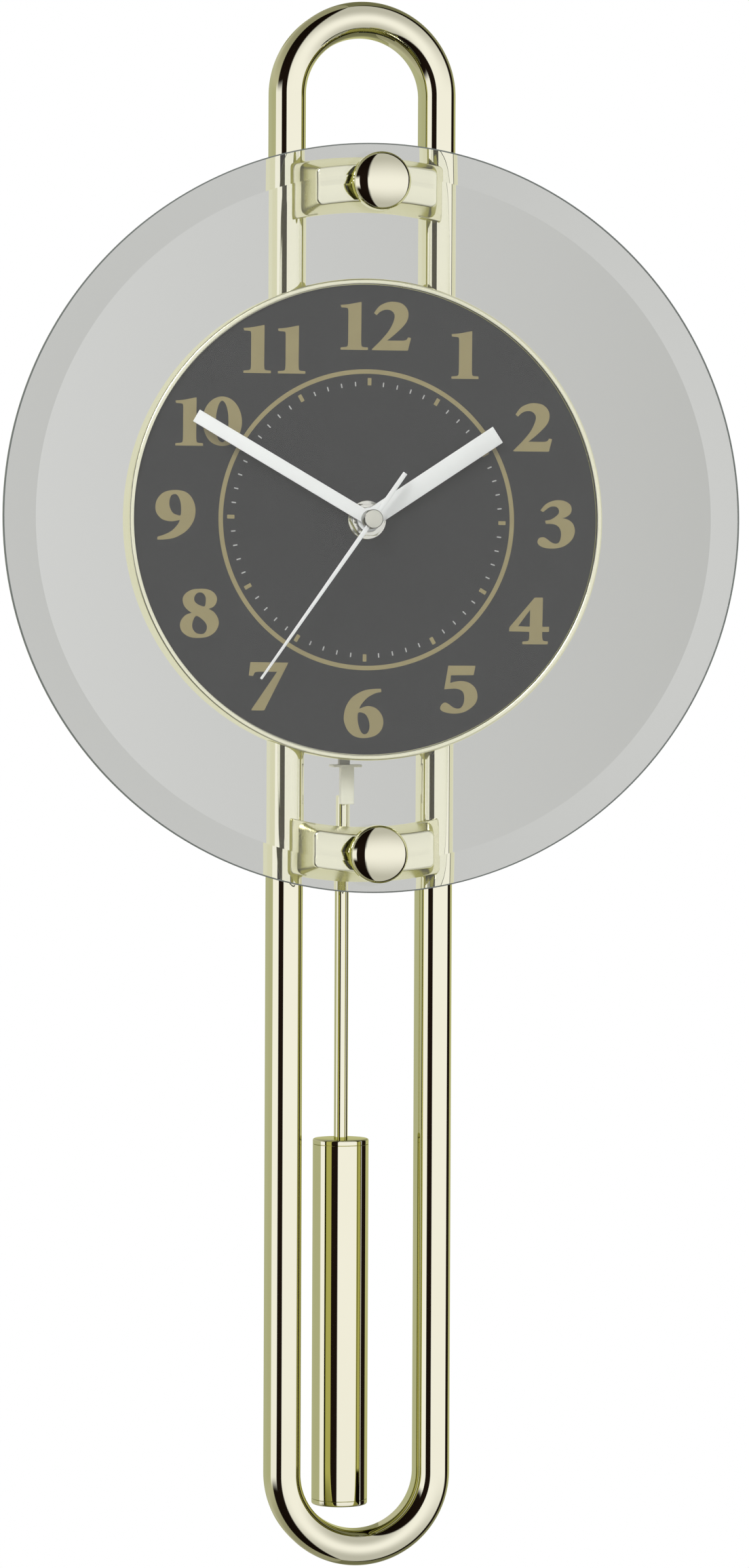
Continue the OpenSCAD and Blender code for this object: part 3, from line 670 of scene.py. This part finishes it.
# Dial: a deep round housing with a rounded lip, and a printed plate in it
dialLook = {"housing": 88.2, "inner": 86.2, "skirt": 24.4, "lip": 40.0, "web": 36.2, "wall": 1.8,
            "shoulder": 0.9, "skirtEdge": 0.2, "lipEdge": [(0.5, 0), (0.15, 0.15), (0, 0.5)],
            "webFront": 38.0, "face": 38.5, "plate": 86.0, "bore": 4.3, "notchLow": (73, -98),
            "notch": 25, "notchGrow": 0.1, "notchUnder": 8, "postX": 14, "postY": 46,
            "post": (3.4, 23.6, 36.4)}


def buildHousing():
    v = dialLook
    outer, inner, lip, bend = v["housing"], v["inner"], v["lip"], v["shoulder"]
    shoulder = [(outer - bend + bend * math.cos(a), lip - bend + bend * math.sin(a))
                for a in quarterTurn(8)]
    wall, skirt, edge = outer - v["wall"], v["skirt"], v["skirtEdge"]
    profile = [(v["bore"], v["web"]), (wall, v["web"]), (wall, skirt),
               (outer - edge, skirt), (outer, skirt + edge), *shoulder,
               *[(inner + out, lip - down) for out, down in v["lipEdge"]],
               (inner, v["webFront"]), (v["bore"], v["webFront"])]
    housing = spunAbout("dialHousing", profile, 288, closed=True)
    cutWith(housing, *[barCutter(side * frameLook["barX"], low, low + v["notch"], v["notchGrow"],
                                 v["notchUnder"]) for side in (-1, 1) for low in v["notchLow"]])
    posts = [pinCutter(x, y, *v["post"]) for x in (-v["postX"], v["postX"])
             for y in (-v["postY"], v["postY"])]
    joinPieces(housing, *posts)
    shadeSmooth(housing, 32)
    paint(housing, looks["housingGold"])
    place(housing, "clock", "housing_gold", "dial_housing")


def buildDialPlate():
    v = dialLook
    plate = spunAbout("dialPlate", [(v["bore"], v["webFront"]), (v["plate"], v["webFront"]),
                                    (v["plate"], v["face"]), (v["bore"], v["face"])],
                      256, closed=True)
    shadeSmooth(plate, 30)
    paint(plate, looks["dialPrint"])
    place(plate, "clock", "dial_print", "dial_plate")


buildHousing()
buildDialPlate()

# Print on the dial: outlines in twentieths of a millimetre over the baseline, each a list of
# smooth runs that meet at corners
figureRuns = {
    "1": ["0,0", "0,17 40,21 53,32 56,60", "57,285 53,302 35,307 4,309", "0,327 60,333 155,352",
          "153,60 156,32 168,22 203,19", "203,0"],
    "2": ["2,0", "0,6", "60,65 120,135 152,190 168,240 163,272 136,294 100,297 62,282 34,255",
          "15,272 58,325 118,352 165,356 220,345 258,312 272,270 265,225 240,185 190,135 "
          "140,92 112,72", "235,72 258,80 270,98", "292,92", "268,0"],
    "3": ["20,280 60,325 110,350 155,357 205,350 245,325 257,290 245,255 213,232 185,225",
          "185,225 228,214 264,188 281,145 278,105 255,60 205,20 145,2 90,0 40,8 8,28 0,50 "
          "12,75 45,83 75,68 105,45 140,36 165,50 176,85 177,120 163,155 130,177 90,182 64,180",
          "56,205 95,212 135,235 160,262 158,290 140,307 110,310 80,298 42,268"],
    "4": ["100,0", "100,20 140,25 150,40 152,60", "152,92", "0,95", "2,125", "192,345",
          "254,345", "250,130", "302,130", "300,92", "250,92", "249,55 256,30 270,24 294,22",
          "290,0"],
    "5": ["60,353", "264,353", "250,284", "80,282",
          "75,225 110,235 160,240 215,228 262,190 280,135 270,85 235,45 180,12 115,0 55,5 "
          "12,20 0,42 12,68 35,82 62,72 95,48 130,37 160,48 178,85 180,130 165,165 125,183 "
          "70,182 30,178"],
    "6": ["276,362", "280,338 235,328 175,295 130,245 115,213",
          "115,213 150,228 190,234 245,215 285,165 295,110 280,60 240,20 180,2 130,0 75,15 "
          "30,55 5,110 0,160 18,235 65,300 140,345 210,359 276,362"],
    "7": ["12,353", "293,350", "115,0", "22,0", "21,8", "210,283",
          "80,283 50,280 38,265 32,252", "0,254"],
    "8": ["212,212 250,230 270,265 270,300 245,335 200,355 145,358 85,350 40,322 20,285 28,240 "
          "55,205 88,182",
          "88,182 45,168 10,130 1,85 20,40 70,8 130,0 200,8 255,40 285,95 280,145 250,190 "
          "212,212"],
    "9": ["15,0", "17,22 60,35 120,65 165,112 182,145",
          "182,145 150,138 105,135 50,150 12,190 1,235 12,290 55,340 115,360 175,361 230,345 "
          "270,305 293,245 294,185 275,125 225,62 150,18 80,3 15,0"],
    "0": ["145,361 220,335 270,270 290,180 272,90 225,25 145,0 65,25 18,90 0,180 18,270 70,335 "
          "145,361"],
}
counterRuns = {
    "4": [["155,130", "67,133", "158,255"]],
    "6": [["110,186 135,186 165,170 188,125 192,75 180,42 158,28 135,38 115,75 104,125 103,165 "
           "110,186"]],
    "8": [["180,230 190,265 188,300 165,328 130,328 107,300 108,268 135,243 180,230"],
          ["120,160 165,135 195,100 198,65 180,35 150,28 115,40 92,75 95,120 120,160"]],
    "9": [["186,180 190,230 183,285 162,325 138,332 115,318 103,275 108,235 130,195 160,182 "
           "186,180"]],
    "0": [["145,330 172,300 187,240 190,180 187,110 172,50 145,28 115,50 103,110 98,180 "
           "103,245 120,305 145,330"]],
}
pairStep = {"12": 233, "10": 200, "11": 255}
figureWidth = {"1": 203, "2": 292, "3": 281, "4": 302, "5": 280, "6": 295, "7": 293, "8": 287,
               "9": 294, "0": 290}
printLook = {"turn": 0.8, "figureRadius": 71.0, "unit": 0.05, "height": 356, "thick": 0.04,
             "ringOuter": 55.07, "ringStroke": 1.64, "hourTick": (1.4, 49.2, 51.9),
             "minuteTick": (0.45, 49.0, 50.6), "curveSteps": 6, "spacing": 0.5,
             "nudge": {10: (2.2, -1.1), 12: (2.0, 0)}}


# Points along a smooth curve through the run's own points
def smoothRun(run, closed=False):
    marks = [Vector([float(n) for n in pair.split(",")]) for pair in run.split()]
    if len(marks) < 3:
        return marks
    ring = closed and marks[0] == marks[-1]
    points = []
    for i in range(len(marks) - 1):
        a, b = marks[i], marks[i + 1]
        before = marks[i - 1] if i else (marks[-2] if ring else a * 2 - b)
        after = marks[i + 2] if i + 2 < len(marks) else (marks[1] if ring else b * 2 - a)
        for k in range(printLook["curveSteps"]):
            t = k / printLook["curveSteps"]
            bend = (2 * before - 5 * a + 4 * b - after) * t * t
            points.append(0.5 * (2 * a + (b - before) * t + bend
                                 + (3 * a - before - 3 * b + after) * t ** 3))
    return points + [marks[-1]]


def outlinePoints(runs, toFace):
    points = []
    for run in runs:
        for point in smoothRun(run, closed=len(runs) == 1):
            if not points or (point - points[-1]).length > printLook["spacing"]:
                points.append(point)
    if (points[0] - points[-1]).length < printLook["spacing"]:
        points.pop()
    return [toFace(*point) for point in points]


# Flat outlines filled, with their counters left open, and given a little thickness
def filledShape(name, loops, thick):
    parts = []
    for loop in loops:
        parts.append(drawLine(name, loop, closed=True))
        bpy.ops.object.mode_set(mode="OBJECT")
    joinPieces(parts[-1], *parts[:-1])
    shape = nameNew(name)
    bpy.ops.object.mode_set(mode="EDIT")
    bpy.ops.mesh.select_all(action="SELECT")
    bpy.ops.mesh.fill()
    bpy.ops.mesh.select_all(action="SELECT")
    pushOut((0, -thick * mm, 0))
    closeShell()
    return shape


def buildFigures():
    v = printLook
    glyphs = []
    for hour in range(1, 13):
        text = str(hour)
        width = figureWidth[text[-1]] + (pairStep[text] if len(text) > 1 else 0)
        bearing = math.radians(hour * 30 + v["turn"])
        nudgeX, nudgeY = v["nudge"].get(hour, (0, 0))
        middleX = v["figureRadius"] * math.sin(bearing) + nudgeX
        middleY = v["figureRadius"] * math.cos(bearing) + nudgeY
        for column, mark in enumerate(text):
            shift = column * pairStep.get(text, 0) - width / 2

            def toFace(x, y):
                return faceAt(middleX + (x + shift) * v["unit"],
                              middleY + (y - v["height"] / 2) * v["unit"], dialLook["face"])
            loops = [outlinePoints(figureRuns[mark], toFace)]
            loops += [outlinePoints(runs, toFace) for runs in counterRuns.get(mark, [])]
            glyphs.append(filledShape("figure" + mark, loops, v["thick"]))
    joinPieces(glyphs[0], *glyphs[1:])
    figures = nameNew("dialFigures")
    paint(figures, looks["figureGold"])
    place(figures, "clock", "dial_print")


def buildTicks():
    v = printLook
    ticks = []
    for minute in range(60):
        width, low, high = v["hourTick"] if minute % 5 == 0 else v["minuteTick"]
        bearing = math.radians(minute * 6 + v["turn"])
        middle = (low + high) / 2
        ticks.append(block("tick", (middle * math.sin(bearing), middle * math.cos(bearing),
                                    dialLook["face"] + v["thick"] / 2),
                           (width, high - low, v["thick"]), bearing))
        paint(ticks[-1], looks["figureGold" if minute % 5 == 0 else "tickWhite"])
    outer, inner = v["ringOuter"], v["ringOuter"] - v["ringStroke"]
    low, high = dialLook["face"], dialLook["face"] + v["thick"]
    ring = spunAbout("dialRing", [(inner, low), (outer, low), (outer, high), (inner, high)],
                     256, closed=True)
    paint(ring, looks["figureGold"])
    joinPieces(ring, *ticks)
    place(ring, "clock", "dial_print")


buildFigures()
buildTicks()
print("dial built")

# Hands: flat blades cut from sheet with softly pressed edges, and the turned cap
handLook = {"hour": dict(length=57.4, wide=6.9, hub=4.4, depth=42.4, angle=56.6),
            "minute": dict(length=74.2, wide=4.9, hub=3.4, depth=44.1, angle=300.0),
            "second": dict(length=71.4, wide=1.7, tip=0.9, tail=20.6, depth=50.2, angle=215.2),
            "thick": 0.5, "edge": 0.12, "capFace": 3.3, "hubSteps": 48,
            "collet": [(1.6, 43.4), (2.5, 43.4), (2.6, 43.5), (2.6, 44.2), (1.6, 44.2)],
            "cap": [(0.5, 45.2), (3.2, 45.2), (3.42, 45.28), (3.5, 45.5), (3.5, 51.6),
                    (3.42, 51.82), (3.2, 51.9), (0, 51.9), (0, 50.0), (0.5, 50.0)]}

# Washer and nut: turned outlines as (radius, depth), and the nut's six sides
nutLook = {"washer": [(4.1, 38.5), (7.0, 38.5), (7.1, 38.6), (7.1, 38.95), (6.95, 39.1),
                      (4.25, 39.1), (4.1, 38.95)],
           "cone": [(0, 39.1), (6.7, 39.1), (6.7, 40.8), (5.9, 41.3), (0, 41.3)],
           "corner": 6.64, "height": 2.2, "middle": 40.2, "bore": (4.0, 38, 43), "edge": 0.1}


# A point of the upright hand turned clockwise to its angle
def turned(x, y, degrees):
    a = math.radians(degrees)
    return x * math.cos(a) + y * math.sin(a), -x * math.sin(a) + y * math.cos(a)


def buildBlade(name, outline, look, body, node):
    points = [faceAt(*turned(x, y, look["angle"]), look["depth"]) for x, y in outline]
    blade = drawLine(name, points, closed=True)
    fillLoop()
    pushOut((0, -handLook["thick"] * mm, 0))
    closeShell()
    roundEdges(blade, handLook["edge"], 2, 40)
    shadeSmooth(blade, 35)
    paint(blade, looks["handWhite"])
    place(blade, body, "hand_white", node)
    return blade


def hubbedOutline(look):
    half, hub = look["wide"] / 2, look["hub"]
    start = math.asin(half / hub)
    turn = 2 * math.pi - 2 * start
    arc = [(hub * math.sin(a), hub * math.cos(a))
           for a in (start + turn * i / handLook["hubSteps"]
                     for i in range(handLook["hubSteps"] + 1))]
    return [*arc, (-half, look["length"]), (half, look["length"])]


def buildHands():
    buildBlade("hourHand", hubbedOutline(handLook["hour"]), handLook["hour"], "hours", "hour_hand")
    minute = buildBlade("minuteHand", hubbedOutline(handLook["minute"]), handLook["minute"],
                        "minutes", "minute_hand")
    collet = spunAbout("minuteCollet", handLook["collet"], 64, closed=True)
    paint(collet, looks["handWhite"])
    joinPieces(minute, collet)
    v = handLook["second"]
    buildBlade("secondHand", [(-v["wide"] / 2, -v["tail"]), (v["wide"] / 2, -v["tail"]),
                              (v["wide"] / 2, 0), (v["tip"] / 2, v["length"]),
                              (-v["tip"] / 2, v["length"]), (-v["wide"] / 2, 0)],
               v, "seconds", "second_hand")
    cap = spunAbout("secondHandCap", handLook["cap"], 96)
    shadeSmooth(cap, 30)
    # The steel face stays bright; the cap's side beyond it is painted dark as shade
    paint(cap, looks["capSteel"], looks["capSideShade"])
    paintOuter(cap, handLook["capFace"])
    place(cap, "seconds", "cap_steel", "second_hand_cap")


def buildNut():
    v = nutLook
    washer = spunAbout("centreWasher", v["washer"], 128, closed=True)
    shadeSmooth(washer, 35)
    paint(washer, looks["nickel"])
    place(washer, "clock", "nickel", "centre_washer")
    deselectAll()
    bpy.ops.mesh.primitive_cylinder_add(vertices=6, radius=v["corner"] * mm,
                                        depth=v["height"] * mm, location=faceAt(0, 0, v["middle"]),
                                        rotation=(math.radians(90), math.radians(30), 0))
    nut = nameNew("hexNut")
    applyPlace(nut)
    cone = spunAbout("nutCone", v["cone"], 96)
    cutWith(nut, cone, operation="INTERSECT")
    cutWith(nut, pinCutter(0, 0, *v["bore"]))
    roundEdges(nut, v["edge"], 2, 25)
    shadeSmooth(nut, 30)
    paint(nut, looks["nickel"])
    place(nut, "clock", "nickel", "hex_nut")


buildHands()
buildNut()
print("hands built")

# Pendulum: the polished tube bob with its end caps, the rod and the plain hook
bobLook = {"x": -3.6, "depth": 11.8, "radius": 10.4, "top": -229.4, "low": -365.8, "seam": 2.0,
           "rod": 2.55, "rodTop": -101.6, "hookTop": -90.0, "hookLow": -104.7,
           "hookFront": 21.4, "hookThick": 4.4, "hookWide": 4.9, "flangeHalf": 5.4,
           "flangeBack": 12.0, "hookEdge": 0.3, "pin": (-103.6, 0.8, 10.8, 17.2),
           "flangeTall": 1, "gap": 0.05, "tubeWall": 0.8, "capWall": 0.9, "capDeep": 4,
           "chamfer": 0.12, "capRound": 0.7, "rodRound": 0.3, "rodIn": 6}


# A turned piece on the pendulum's own upright line: profile is (radius, height)
def uprightTurned(name, profile, steps=96):
    v = bobLook
    points = [faceAt(v["x"] + r, h, v["depth"]) for r, h in profile]
    piece = drawLine(name, points)
    bpy.ops.mesh.spin(steps=steps, angle=2 * math.pi, center=faceAt(v["x"], 0, v["depth"]),
                      axis=(0, 0, 1))
    closeShell()
    shadeSmooth(piece, 35)
    return piece


# Points of a rounded edge, from the side to the end when upward
def roundedCorner(radius, height, size, upward):
    side = 1 if upward else -1
    arc = [(radius - size + size * math.cos(a), height - side * size + side * size * math.sin(a))
           for a in quarterTurn(6)]
    return arc if upward else arc[::-1]


def buildPendulum():
    v = bobLook
    r, seam, chamfer, gap = v["radius"], v["seam"], v["chamfer"], v["gap"]
    tubeLow, tubeTop = v["low"] + seam, v["top"] - seam
    low, top = tubeLow + gap, tubeTop - gap
    tube = uprightTurned("bobTube", [(r - v["tubeWall"], low), (r - chamfer, low),
                                     (r, low + chamfer), (r, top - chamfer),
                                     (r - chamfer, top), (r - v["tubeWall"], top)])
    paint(tube, looks["goldPlate"])
    place(tube, "pendulum", "gold_plate", "bob_tube")
    neck, deep, bend = r - v["capWall"], v["capDeep"], v["capRound"]
    topCap = uprightTurned("bobCapTop", [(neck, tubeTop - deep), (neck, tubeTop),
                                         (r - chamfer, tubeTop), (r, tubeTop + chamfer),
                                         *roundedCorner(r, v["top"], bend, True),
                                         (v["rod"] + gap, v["top"])])
    lowCap = uprightTurned("bobCapLow", [(0, v["low"]), *roundedCorner(r, v["low"], bend, False),
                                         (r, tubeLow - chamfer), (r - chamfer, tubeLow),
                                         (neck, tubeLow), (neck, tubeLow + deep),
                                         (0, tubeLow + deep)])
    joinPieces(topCap, lowCap)
    caps = nameNew("bobCaps")
    paint(caps, looks["goldPlate"])
    place(caps, "pendulum", "gold_plate", "bob_caps")
    rodLow = v["top"] - v["rodIn"]
    rod = uprightTurned("pendulumRod", [(0, rodLow), (v["rod"], rodLow),
                                        *roundedCorner(v["rod"], v["rodTop"], v["rodRound"], True),
                                        (0, v["rodTop"])], 48)
    paint(rod, looks["goldPlate"])
    place(rod, "pendulum", "gold_plate", "pendulum_rod")


def buildHook():
    v = bobLook
    front, top, tall = v["hookFront"], v["hookTop"], v["flangeTall"]
    parts = []
    for name, half, y0, y1, z0, z1 in (
            ("pendulumHook", v["hookWide"] / 2, v["hookLow"], top - tall / 2,
             front - v["hookThick"], front),
            ("hookFlange", v["flangeHalf"], top - tall, top, v["flangeBack"], front)):
        part = block(name, (v["x"], (y0 + y1) / 2, (z0 + z1) / 2),
                     (2 * half, y1 - y0, z1 - z0))
        roundEdges(part, v["hookEdge"], 3, 30)
        parts.append(part)
    hook, flange = parts
    joinPieces(hook, flange, pinCutter(v["x"], *v["pin"]))
    shadeSmooth(hook, 35)
    paint(hook, looks["creamPlastic"])
    place(hook, "pendulum", "cream_plastic", "pendulum_hook")


buildPendulum()
buildHook()
print("pendulum built")

# Camera: to the left of the clock and a little below its hands, aimed at the middle of the frame
cameraLook = {"spot": (-355.0, -52.8, 1900.0), "aim": (5.2, -97.0, 29.6), "lean": 0.25,
              "lens": 118.6, "sensor": 36, "clip": (0.05, 50)}


# The turn of a camera or lamp at a spot that looks at a target
def turnTo(spot, target):
    return (Vector(target) - Vector(spot)).to_track_quat("-Z", "Y")


def buildCamera():
    v = cameraLook
    spot, aim = faceAt(*v["spot"]), faceAt(*v["aim"])
    deselectAll()
    bpy.ops.object.camera_add(location=spot)
    camera = bpy.context.active_object
    camera.name = "mainCamera"
    lean = Quaternion((0, 0, 1), math.radians(v["lean"]))
    camera.rotation_euler = (turnTo(spot, aim) @ lean).to_euler()
    camera.data.sensor_width = v["sensor"]
    camera.data.lens = v["lens"]
    camera.data.clip_start, camera.data.clip_end = v["clip"]
    bpy.context.scene.camera = camera


buildCamera()

# Studio: a white surround, painted grey as shade where it is seen through the glass; what the plated
# parts mirror is graded by bearing round the clock
white, black, olive = (1.0, 0.99, 0.97), (0.012, 0.007, 0.005), (0.46, 0.47, 0.28)
studioLook = {
    # spot and target of the lamp in metres, its sides and power
    "keyLamp": ((-1.2, -2.6, 1.3), (0, 0, -0.1), (1.0, 1.0), 30.0), "fill": 0.55,
    "soft": 0.7, "softRaised": 3.0, "wallFrom": 0.08,
    # painted shade behind the glass: grey that rays through the glass meet instead of white, darker
    # towards the right
    "shadeBehindGlass": [(0.115, (0.63, 0.63, 0.62)), (0.25, (0.485, 0.485, 0.47))],
    "level": [(-180, olive), (-101, white), (-55, black), (-21.5, white), (86, black),
              (116, (0.5, 0.5, 0.24)), (180, olive)],
    "raised": [(-180, (0.56, 0.55, 0.38)), (-88, black), (-20, white),
               (90, black), (118, (0.3, 0.3, 0.17)), (180, (0.3, 0.3, 0.17))],
    "above": (0.09, 0.27), "below": (0.14, 0.34), "dimming": (0.05, 0.85),
    "dimmed": (0.55, 0.55, 0.52), "wallThroughGlass": (0.74, 0.735, 0.58),
    "twiceMirrored": (0.5, 0.5, 0.17),
}


# A colour ramp over bearings from -180 to 180 degrees with narrow changes between stops
def bearingRamp(tree, stops, soft, bearing):
    ramp = addNode(tree, "ShaderNodeValToRGB")
    elements = ramp.color_ramp.elements
    marks = []
    for (low, color), (high, _) in zip(stops, stops[1:]):
        marks += [(low + soft, color), (high - soft, color)]
    while len(elements) < len(marks):
        elements.new(0.5)
    for element, (degrees, color) in zip(elements, marks):
        element.position = min(1, max(0, degrees / 360 + 0.5))
        element.color = (*color, 1)
    tree.links.new(bearing, ramp.inputs["Fac"])
    return ramp.outputs["Color"]


def worldMath(tree, operation, *values):
    node = addNode(tree, "ShaderNodeMath", operation=operation)
    for socket, value in zip(node.inputs, values):
        if isinstance(value, (int, float)):
            socket.default_value = value
        else:
            tree.links.new(value, socket)
    return node.outputs[0]


def worldStep(tree, value, low, high):
    node = addNode(tree, "ShaderNodeMapRange", interpolation_type="SMOOTHSTEP", From_Min=low,
                   From_Max=high)
    tree.links.new(value, node.inputs["Value"])
    return node.outputs["Result"]


def worldMix(tree, factor, a, b, blend="MIX"):
    node = addNode(tree, "ShaderNodeMix", data_type="RGBA", blend_type=blend)
    tree.links.new(factor, node.inputs["Factor"])
    for label, value in (("A", a), ("B", b)):
        if isinstance(value, tuple):
            node.inputs[label].default_value = (*value, 1)
        else:
            tree.links.new(value, node.inputs[label])
    return node.outputs["Result"]


def buildWorld():
    v = studioLook
    bpy.context.scene.view_settings.view_transform = "Standard"
    world = bpy.data.worlds.new("studioWorld")
    bpy.context.scene.world = world
    world.use_nodes = True
    tree = world.node_tree
    tree.nodes.clear()
    coords = addNode(tree, "ShaderNodeTexCoord")
    parts = addNode(tree, "ShaderNodeSeparateXYZ")
    tree.links.new(coords.outputs["Generated"], parts.inputs[0])
    x, y, z = parts.outputs
    turn = worldMath(tree, "ARCTAN2", x, worldMath(tree, "MULTIPLY", y, -1.0))
    bearing = worldMath(tree, "MULTIPLY_ADD", turn, 0.5 / math.pi, 0.5)  # a full turn as 0 to 1
    steep = worldMath(tree, "MAXIMUM", worldStep(tree, z, *v["above"]),
                      worldStep(tree, worldMath(tree, "MULTIPLY", z, -1.0), *v["below"]))
    mirrored = worldMix(tree, steep, bearingRamp(tree, v["level"], v["soft"], bearing),
                        bearingRamp(tree, v["raised"], v["softRaised"], bearing))
    mirrored = worldMix(tree, worldStep(tree, worldMath(tree, "ABSOLUTE", z), *v["dimming"]),
                        mirrored, v["dimmed"], blend="MULTIPLY")
    path = addNode(tree, "ShaderNodeLightPath")
    once, twice = 0.5, 1.5  # a ray's depths above these mean one and two such meetings
    crossed = worldMath(tree, "GREATER_THAN", path.outputs["Transmission Depth"], twice)
    backward = worldMath(tree, "MULTIPLY", worldStep(tree, y, 0.0, v["wallFrom"]), crossed)
    mirrored = worldMix(tree, backward, mirrored, v["wallThroughGlass"])
    again = worldMath(tree, "GREATER_THAN", path.outputs["Glossy Depth"], twice)
    mirrored = worldMix(tree, again, mirrored, v["twiceMirrored"], blend="MULTIPLY")
    # Rays that passed the glass meet the painted shade behind the glass, grey instead of white
    (low, lowColor), (high, highColor) = v["shadeBehindGlass"]
    across = addNode(tree, "ShaderNodeMapRange", From_Min=low, From_Max=high)
    tree.links.new(x, across.inputs["Value"])
    through = worldMix(tree, across.outputs["Result"], lowColor, highColor)
    mirrorSeen = worldMath(tree, "GREATER_THAN", path.outputs["Glossy Depth"], once)
    scattered = worldMath(tree, "GREATER_THAN", path.outputs["Diffuse Depth"], once)
    shown = worldMix(tree, path.outputs["Is Transmission Ray"], (1.0, 1.0, 1.0), through)
    shown = worldMix(tree, mirrorSeen, shown, mirrored)
    shown = worldMix(tree, scattered, shown, (v["fill"],) * 3)
    glow = addNode(tree, "ShaderNodeBackground")
    tree.links.new(shown, glow.inputs["Color"])
    out = addNode(tree, "ShaderNodeOutputWorld")
    tree.links.new(glow.outputs[0], out.inputs["Surface"])


def buildLamp(name, spot, target, size, power):
    deselectAll()
    bpy.ops.object.light_add(type="AREA", location=spot)
    lamp = bpy.context.active_object
    lamp.name = name
    lamp.rotation_euler = turnTo(spot, target).to_euler()
    lamp.data.shape = "RECTANGLE"
    lamp.data.size, lamp.data.size_y = size
    lamp.data.energy = power
    lamp.visible_glossy = False


buildWorld()
buildLamp("keyLamp", *studioLook["keyLamp"])
print("studio built")
